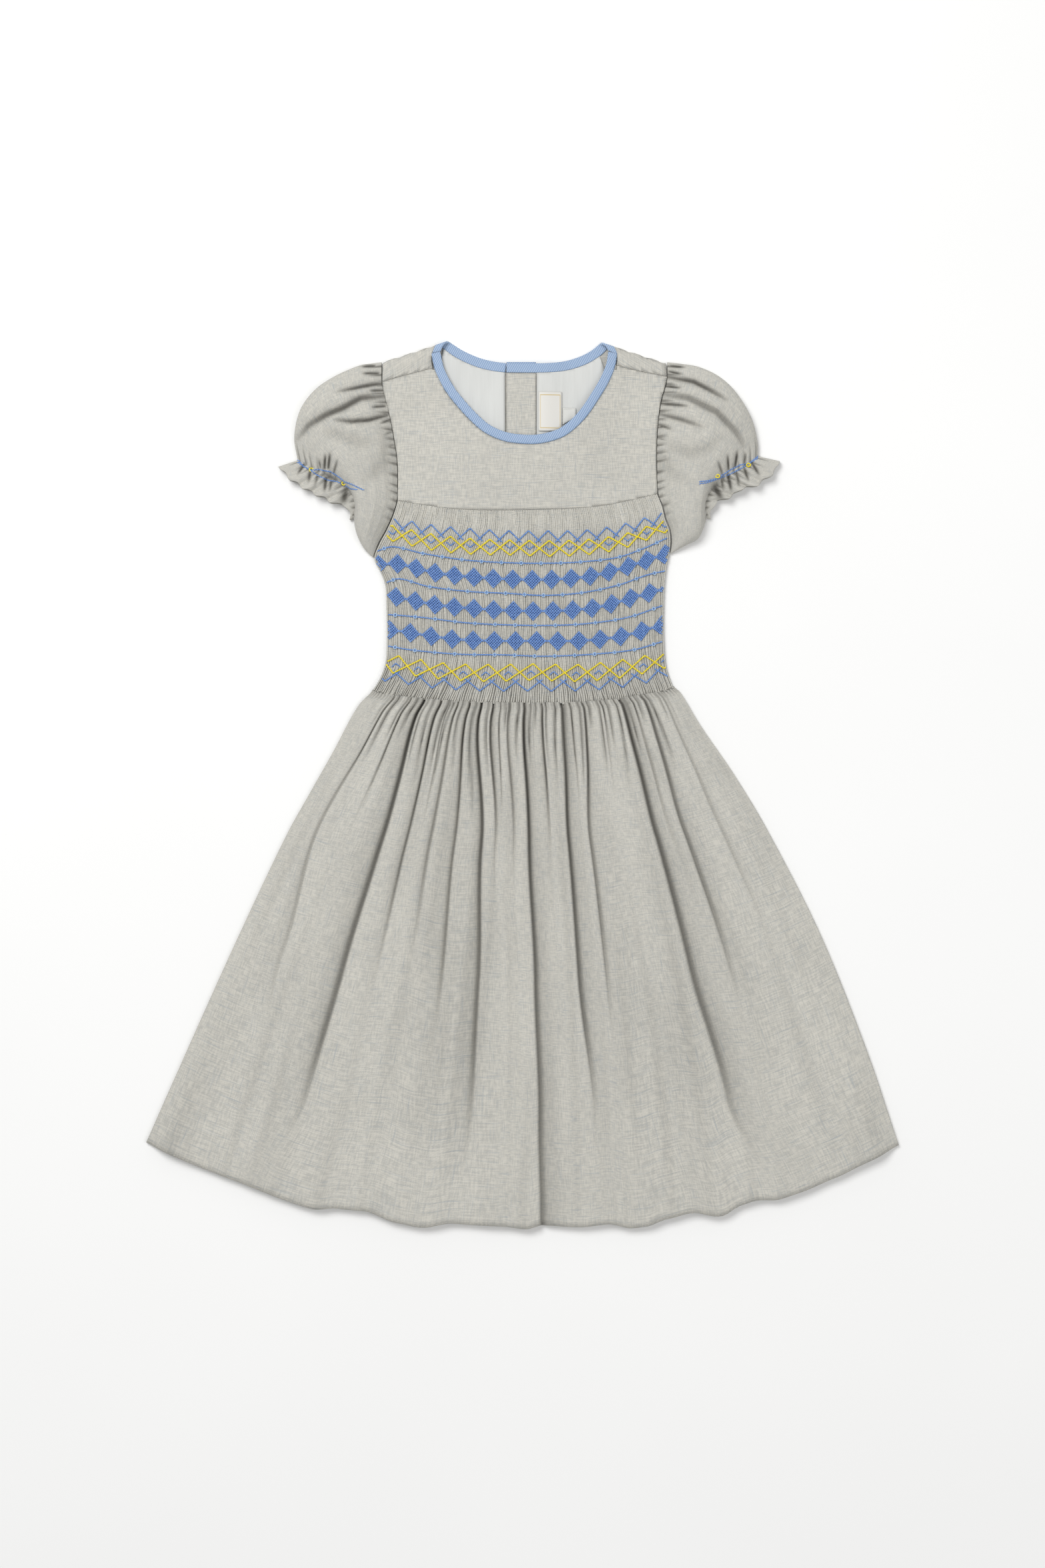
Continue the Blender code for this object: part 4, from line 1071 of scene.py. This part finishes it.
def sleeve(name, lines):
    armhole, cuff, ruffle = (curveThrough(lines[key]) for key in ("armhole", "cuff", "ruffle"))
    surface = patchBetween(curveThrough(lines["top"]), curveThrough(lines["under"]), armhole, cuff)
    inward = 1.0 if lines["ruffle"][0][0] < 0 else -1.0
    stations = puff["stations"]

    @functools.lru_cache(maxsize=None)
    def station(row):
        # the row's share along the stations, eased between them
        place = row * (len(stations) - 1)
        index = min(int(place), len(stations) - 2)
        t = place - index
        return [a * (1 - t) + b * t for a, b in zip(stations[index], stations[index + 1])]

    def place(turn, row):
        along, past, top, edge = station(row)
        upper = turn <= puff["overShare"]
        share = turn / puff["overShare"] if upper else (1 - turn) / (1 - puff["overShare"])
        share = 0.5 - 0.5 * math.cos(math.pi * share) * (0.72 + 0.28 * abs(math.cos(math.pi * share)))
        x, y = surface(share, along) if past == 0.0 else cuff(share).lerp(ruffle(share), past)
        outward = (ruffle(share) - cuff(share)).normalized() * past
        lobe = puff["lobe"] * math.sin(puff["ruffleWaves"] * 2 * math.pi * share + 1.0)
        x, y = x + outward.x * lobe, y + outward.y * lobe
        if not upper:
            power = puff["underSquare"]
            rounded = 1 - (1 - abs(2 * share - 1) ** power) ** (1 / power)
            return Vector((x, y, max(edge * rounded - puff["underDrop"], 0.0))), 0.0
        bulge = (1 - abs(2 * share - 1) ** puff["square"]) ** puff["crown"]
        middle = math.sin(math.pi * share)
        angle = 2 * math.pi * share
        cap = puff["capHeight"] * fade(along, 0.02, 0.10 + 0.08 * ripple(share * 20, 0.4, 4.3))
        cuffRow = puff["cuffHeight"] * fade(-along, -1.0, 0.2) * fade(past, 0.1, 0.6)
        uneven = 0.8 * ripple(share * 9, 0.0, 5.0)
        capWave = math.cos(puff["capGathers"] * angle / 2 + uneven * 3) * fade(share, 0.72, 0.2)
        cuffWave = math.cos(puff["cuffGathers"] * angle / 2 + uneven * 2)
        waves = puff["ruffleHeight"] * math.sin(puff["ruffleWaves"] * angle + uneven * 2) * past
        rise = edge + (top - edge) * bulge + middle * (cap * capWave + cuffRow * cuffWave + waves)
        rise += puff["soft"] * ripple(x * 0.06, y * 0.06, 3.0) * bulge
        # painted shade in the troughs of the gathers at the cap and the cuff
        dark = puff["capShade"] * max(-capWave, 0.0) ** 2 * cap / puff["capHeight"]
        dark += puff["cuffShade"] * max(-cuffWave, 0.0) ** 2 * cuffRow / puff["cuffHeight"]
        for points, deep, wide, paintedShade in lines["creases"]:
            away, where = nearCrease(x, y, points)
            if away > 7 * wide:
                continue
            taper = math.sin(math.pi * min(max(0.22 + 0.72 * where, 0.0), 1.0)) ** 0.7
            core = math.exp(-(away / wide) ** 2) * taper
            sides = math.exp(-(away / (puff["creaseReach"] * wide)) ** 2) * taper
            sunk = deep * (puff["coreDepth"] * core + puff["sideDepth"] * sides)
            rise -= min(sunk, max(rise - edge, 0.0) * 0.5)
            # painted shade in the crease and beside it
            dark = max(dark, paintedShade * (core + puff["sideShade"] * sides))
        return Vector((x, y, max(rise, puff["lowest"]))), min(dark, puff["darkest"])

    size = puff["around"], puff["rows"]
    piece = gridCloth(name, *size, place, woolPaintedDarker, puff["flat"], puff["wall"], inward, True)
    sewOn(piece, "wool_cloth", lines["node"])


for name, lines in sleeves.items():
    sleeve(name, lines)
print("sleeves made")


# Embroidery

# radius of each thread in millimetres
threads = {
    "wave": 0.6, "trellis": 0.66, "cable": 0.6, "strand": 0.46, "knot": 1.15, "band": 0.42, "edge": 0.2,
}


def shapeAlongX(bm, name):
    bmesh.ops.rotate(bm, verts=bm.verts, cent=(0, 0, 0), matrix=Matrix.Rotation(math.pi / 2, 3, "Y"))
    mesh = bpy.data.meshes.new(name)
    bm.to_mesh(mesh)
    bm.free()
    return mesh


def plumpStitch():
    bm = bmesh.new()
    bmesh.ops.create_uvsphere(bm, u_segments=6, v_segments=4, radius=1.0)
    return shapeAlongX(bm, "plump stitch")


def latticeStrand():
    bm = bmesh.new()
    bmesh.ops.create_cone(bm, segments=4, radius1=1.0, radius2=1.0, depth=2.0, cap_ends=False)
    return shapeAlongX(bm, "lattice strand")


def ringKnot():
    bm = bmesh.new()
    circle = bmesh.ops.create_circle(bm, segments=6, radius=0.36)["verts"]
    bmesh.ops.rotate(bm, verts=circle, cent=(0, 0, 0), matrix=Matrix.Rotation(math.pi / 2, 3, "X"))
    bmesh.ops.translate(bm, verts=circle, vec=(1, 0, 0))
    turn = {"cent": (0, 0, 0), "axis": (0, 0, 1), "angle": 2 * math.pi, "steps": 12, "use_merge": True}
    bmesh.ops.spin(bm, geom=bm.verts[:] + bm.edges[:], **turn)
    bmesh.ops.recalc_face_normals(bm, faces=bm.faces)
    mesh = bpy.data.meshes.new("ring knot")
    bm.to_mesh(mesh)
    bm.free()
    return mesh


stitchShape = plumpStitch()
strandShape = latticeStrand()
knotShape = ringKnot()


def stamp(bm, shape, matrix):
    # copies a shape into the mesh at a place given in millimetres
    count = len(bm.verts)
    bm.from_mesh(shape)
    bm.verts.ensure_lookup_table()
    matrix = Matrix.Scale(mm, 4) @ matrix
    for vertex in bm.verts[count:]:
        vertex.co = matrix @ vertex.co


def stampBetween(bm, shape, start, end, radius, overlap=1.2):
    # stretches a shape from start to end, where the cloth carries both
    if start is None or end is None:
        return
    run = end - start
    turn = run.to_track_quat("X", "Z").to_matrix().to_4x4()
    size = Matrix.Diagonal((run.length / 2 * overlap, radius, radius, 1))
    stamp(bm, shape, Matrix.Translation((start + end) / 2) @ turn @ size)


panelLeft, panelRight = smockedSides()


@functools.lru_cache(maxsize=None)
def panelEdges(y):
    # x of both side seams at a height, found by halving
    found = []
    for curve in (panelLeft, panelRight):
        low, high = 0.0, 1.0
        for _ in range(16):
            middle = (low + high) / 2
            low, high = (middle, high) if curve(middle).y < y else (low, middle)
        found.append(curve(low).x)
    return found


def onPanel(point, lift):
    # the place on the pleats' tops, or nothing past the side seams
    left, right = panelEdges(round(point.y, 1))
    if not left + 0.5 < point.x < right - 0.5:
        return None
    u = (point.x - left) / (right - left)
    z = smockedInside(u, point.x, point.y) + smocked["wall"] + smocked["pleatHeight"]
    return Vector((point.x, point.y, z + lift))


def stitchPath(bm, path, each, radius, askew=0.0, lift=0.35, surface=onPanel):
    # short stitches along straight runs between the path's points, each a little askew
    for start, end in zip(path, path[1:]):
        run = end - start
        count = max(round(run.length / each), 1)
        across = Vector((-run.y, run.x)) * askew / count
        for index in range(count):
            a = start.lerp(end, index / count) - across
            b = start.lerp(end, (index + 1) / count) + across
            stampBetween(bm, stitchShape, surface(a, lift), surface(b, lift), radius)


def embroider(name, material, draw):
    bm = bmesh.new()
    draw(bm)
    sewOn(finishPiece(bm, name, material), "blue_twill_tape")


def evenPoints(line, count):
    # points along a row, with one more past each side seam
    points = [line(index / (count - 1)) for index in range(count)]
    return [points[0] * 2 - points[1]] + points + [points[-1] * 2 - points[-2]]


def drawWave(bm, peakLine, count, hand):
    # zigzag whose legs run on past each other where they cross
    drop = Vector((0, -chart["waveDrop"] * hand))
    peaks = evenPoints(peakLine, count)
    for peak, after in zip(peaks, peaks[1:]):
        dip = (peak + after) / 2 + drop
        stitchPath(bm, [peak, dip + (dip - peak) * 0.28], 1.45, threads["wave"], 0.18)
        stitchPath(bm, [after, dip + (dip - after) * 0.28], 1.45, threads["wave"], -0.18)


def drawChevrons(bm, highLine, lowLine, count, hand):
    # small open vee inside each yellow diamond
    for index in range(count):
        share = index / (count - 1)
        middle = (highLine(share) + lowLine(share)) / 2 + Vector((0, -0.8 * hand))
        for side in (-1, 1):
            end = middle + Vector((3.2 * side, 2.7 * hand))
            stitchPath(bm, [middle, end], 1.4, threads["wave"] * 0.9)


def drawCable(bm, path):
    # a rope of slanting stitches, one for each pleat
    curve = curveThrough(path)
    count = smocked["pleats"]
    for index in range(count):
        slip = Vector((0, 0.22 if index % 2 else -0.22))
        start = curve(index / count) - slip
        end = curve((index + 1) / count) + slip
        stampBetween(bm, stitchShape, onPanel(start, 0.3), onPanel(end, 0.3), threads["cable"], 1.25)


def drawBlue(bm):
    upper, lower = chart["upperCount"], chart["lowerCount"]
    drawWave(bm, curveThrough(chart["waveTop"]), upper, 1)
    drawChevrons(bm, curveThrough(chart["trellisTop"]), curveThrough(chart["trellisBottom"]), upper, 1)
    drawWave(bm, curveThrough(chart["waveBottom"]), lower, -1)
    lowTop, lowBottom = curveThrough(chart["lowTrellisTop"]), curveThrough(chart["lowTrellisBottom"])
    drawChevrons(bm, lowTop, lowBottom, lower, -1)
    for path in chart["cables"]:
        drawCable(bm, path)


def drawStrand(bm, centre, slope, t, hand):
    # one strand of a diamond, at the share t of the way across it
    parts = 3
    points = []
    for index in range(parts + 1):
        s = -1 + 2 * index / parts
        across = (s + t * hand) / 2 * chart["halfWide"]
        upward = (s * hand - t) / 2 * chart["halfHigh"]
        points.append(centre + Vector((across, upward + across * slope)))
    lift = 0.3 + 0.15 * hand
    for a, b in zip(points, points[1:]):
        stampBetween(bm, strandShape, onPanel(a, lift), onPanel(b, lift), threads["strand"], 1.04)


def drawLattices(bm):
    # each diamond is a mat of strands that cross, joined to the next by two small crosses
    lines = chart["latticeLines"]
    for row in lattices:
        for centre, slope in row:
            for line in range(lines):
                for hand in (-1, 1):
                    drawStrand(bm, centre, slope, -1 + (2 * line + 1) / lines, hand)
        for (before, _), (after, _) in zip(row, row[1:]):
            for share in (0.44, 0.56):
                middle = before.lerp(after, share)
                for hand in (-1, 1):
                    reach = Vector((0.95, 0.9 * hand))
                    stitchPath(bm, [middle - reach, middle + reach], 2.6, 0.38)


def drawKnots(bm):
    for path in chart["cables"]:
        curve = curveThrough(path)
        length = sum((curve((i + 1) / 40) - curve(i / 40)).length for i in range(40))
        count = round(length / chart["knotEvery"])
        for index in range(count):
            place = onPanel(curve((index + 0.45) / count), 0.8)
            if place:
                stamp(bm, knotShape, Matrix.Translation(place) @ Matrix.Scale(threads["knot"], 4))


def drawTrellis(bm, high, low, count):
    # two zigzags that cross halfway, which leave a row of diamonds
    tops, bottoms = evenPoints(high, count), evenPoints(low, count)
    for phase in (0, 1):
        path = [(tops if index % 2 == phase else bottoms)[index] for index in range(count + 2)]
        stitchPath(bm, path, 1.6, threads["trellis"], 0.14 - 0.28 * phase, 0.45 + 0.1 * phase)


def drawYellow(bm):
    top, bottom = curveThrough(chart["trellisTop"]), curveThrough(chart["trellisBottom"])
    drawTrellis(bm, top, bottom, chart["upperCount"])
    lowTop, lowBottom = curveThrough(chart["lowTrellisTop"]), curveThrough(chart["lowTrellisBottom"])
    drawTrellis(bm, lowTop, lowBottom, chart["lowerCount"])


embroider("blueStitches", blueYarn, drawBlue)
embroider("blueLattices", blueYarn, drawLattices)
embroider("paleKnots", paleYarn, drawKnots)
embroider("yellowStitches", yellowYarn, drawYellow)

# shirring thread and knots on the sleeve bands: lines, and where the yellow knots lie
bands = {
    "sleeveLeft": (
        [(-168.5, 243), (-163, 237), (-158, 234.5), (-152, 235), (-143, 233), (-137, 229),
         (-133, 225.5), (-127, 223),
         (-118, 218.5)],
        [(-168.5, 241), (-163, 237), (-158, 234), (-152, 230), (-145, 227), (-140, 226.5), (-134, 224),
         (-128, 220),
         (-123, 219)],
        [(-158, 235), (-133.5, 224.5)],
    ),
    "sleeveRight": (
        [(176.5, 245.5), (170, 240), (163, 238.5), (156, 235), (150, 231), (144, 227.5), (137, 225.5),
         (131.5, 225)],
        [(176.5, 244), (169, 239.5), (162, 235), (155, 231.5), (149, 229), (142, 226), (136, 224),
         (131.5, 223.5)],
        [(169, 238.5), (145.5, 229.5)],
    ),
}


def drawBand(bm, sleeveName, pick):
    bpy.context.view_layer.update()
    cloth = bpy.data.objects[sleeveName]

    def onSleeve(point, lift):
        hit, place, _, _ = cloth.ray_cast(Vector((point.x, point.y, 100)) * mm, Vector((0, 0, -1)))
        return Vector((point.x, point.y, (place.z / mm if hit else 3.0) + lift))

    upper, lower, knots = bands[sleeveName]
    if pick == "knots":
        for x, y in knots:
            place = onSleeve(Vector((x, y)), 0.6)
            stamp(bm, knotShape, Matrix.Translation(place) @ Matrix.Diagonal((1.45, 1.25, 1.5, 1)))
        return
    for line in (upper, lower):
        stitchPath(bm, [Vector(point) for point in line], 2.0, threads["band"], 0.2, 0.3, onSleeve)


for sleeveName in bands:
    embroider(sleeveName + "Shirring", blueYarn, lambda bm: drawBand(bm, sleeveName, "lines"))
    embroider(sleeveName + "Knots", yellowYarn, lambda bm: drawBand(bm, sleeveName, "knots"))


def drawBindingEdge(bm):
    # fine stitches that catch the binding down on the yoke
    edge = beside(curveThrough(neckFront), -neck["width"] / 2 + 0.8)
    count = 150
    for index in range(2, count - 2):
        start, end = edge(index / count), edge((index + 0.62) / count)
        a, b = [onFront(point.x, point.y) + Vector((0, 0, 0.1)) for point in (start, end)]
        stampBetween(bm, stitchShape, a, b, threads["edge"])


embroider("bindingStitches", paleYarn, drawBindingEdge)
print("embroidery made")


# Buttons, floor, light and camera

for number in (1, 2, 3, 4):
    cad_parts[f"button_{number}"].data.materials[0] = pearl

stage = {
    "floorColours": ("#f7f7f6", "#fcfcfb"), "floorSize": 6.0, "worldStrength": 0.42, "height": 2.4,
    "frameHigh": 1.176,
}


def floor():
    bm = bmesh.new()
    bmesh.ops.create_grid(bm, x_segments=1, y_segments=1, size=stage["floorSize"] / 2)
    bmesh.ops.translate(bm, verts=bm.verts, vec=(0, 0, -0.0003))
    material, tree, shader = newMaterial("pale painted board", 0.9)
    colour = blendColours(tree, speckle(tree, objectPlace(tree), 3.0), *stage["floorColours"])
    tree.links.new(colour, shader.inputs["Base Color"])
    finishPiece(bm, "floor", material)


def softLight(name, place, size, energy):
    light = bpy.data.lights.new(name, "AREA")
    light.size = size
    light.energy = energy
    lamp = bpy.data.objects.new(name, light)
    lamp.location = place
    lamp.rotation_euler = (-Vector(place)).to_track_quat("-Z", "Y").to_euler()
    bpy.context.scene.collection.objects.link(lamp)


floor()
softLight("key light", (-0.9, 1.2, 2.3), 1.3, 44.0)
softLight("fill light", (1.2, -0.4, 2.4), 1.6, 15.0)
world = bpy.data.worlds.new("studio")
world.use_nodes = True
world.node_tree.nodes["Background"].inputs["Color"].default_value = (1, 1, 1, 1)
world.node_tree.nodes["Background"].inputs["Strength"].default_value = stage["worldStrength"]
bpy.context.scene.world = world
bpy.context.scene.view_settings.view_transform = "Standard"

camera = bpy.data.cameras.new("camera")
camera.sensor_width = 36.0
camera.lens = camera.sensor_width * stage["height"] / stage["frameHigh"]
cameraObject = bpy.data.objects.new("camera", camera)
cameraObject.location = (0, 0, stage["height"])
bpy.context.scene.collection.objects.link(cameraObject)
bpy.context.scene.camera = cameraObject
print("stage set")
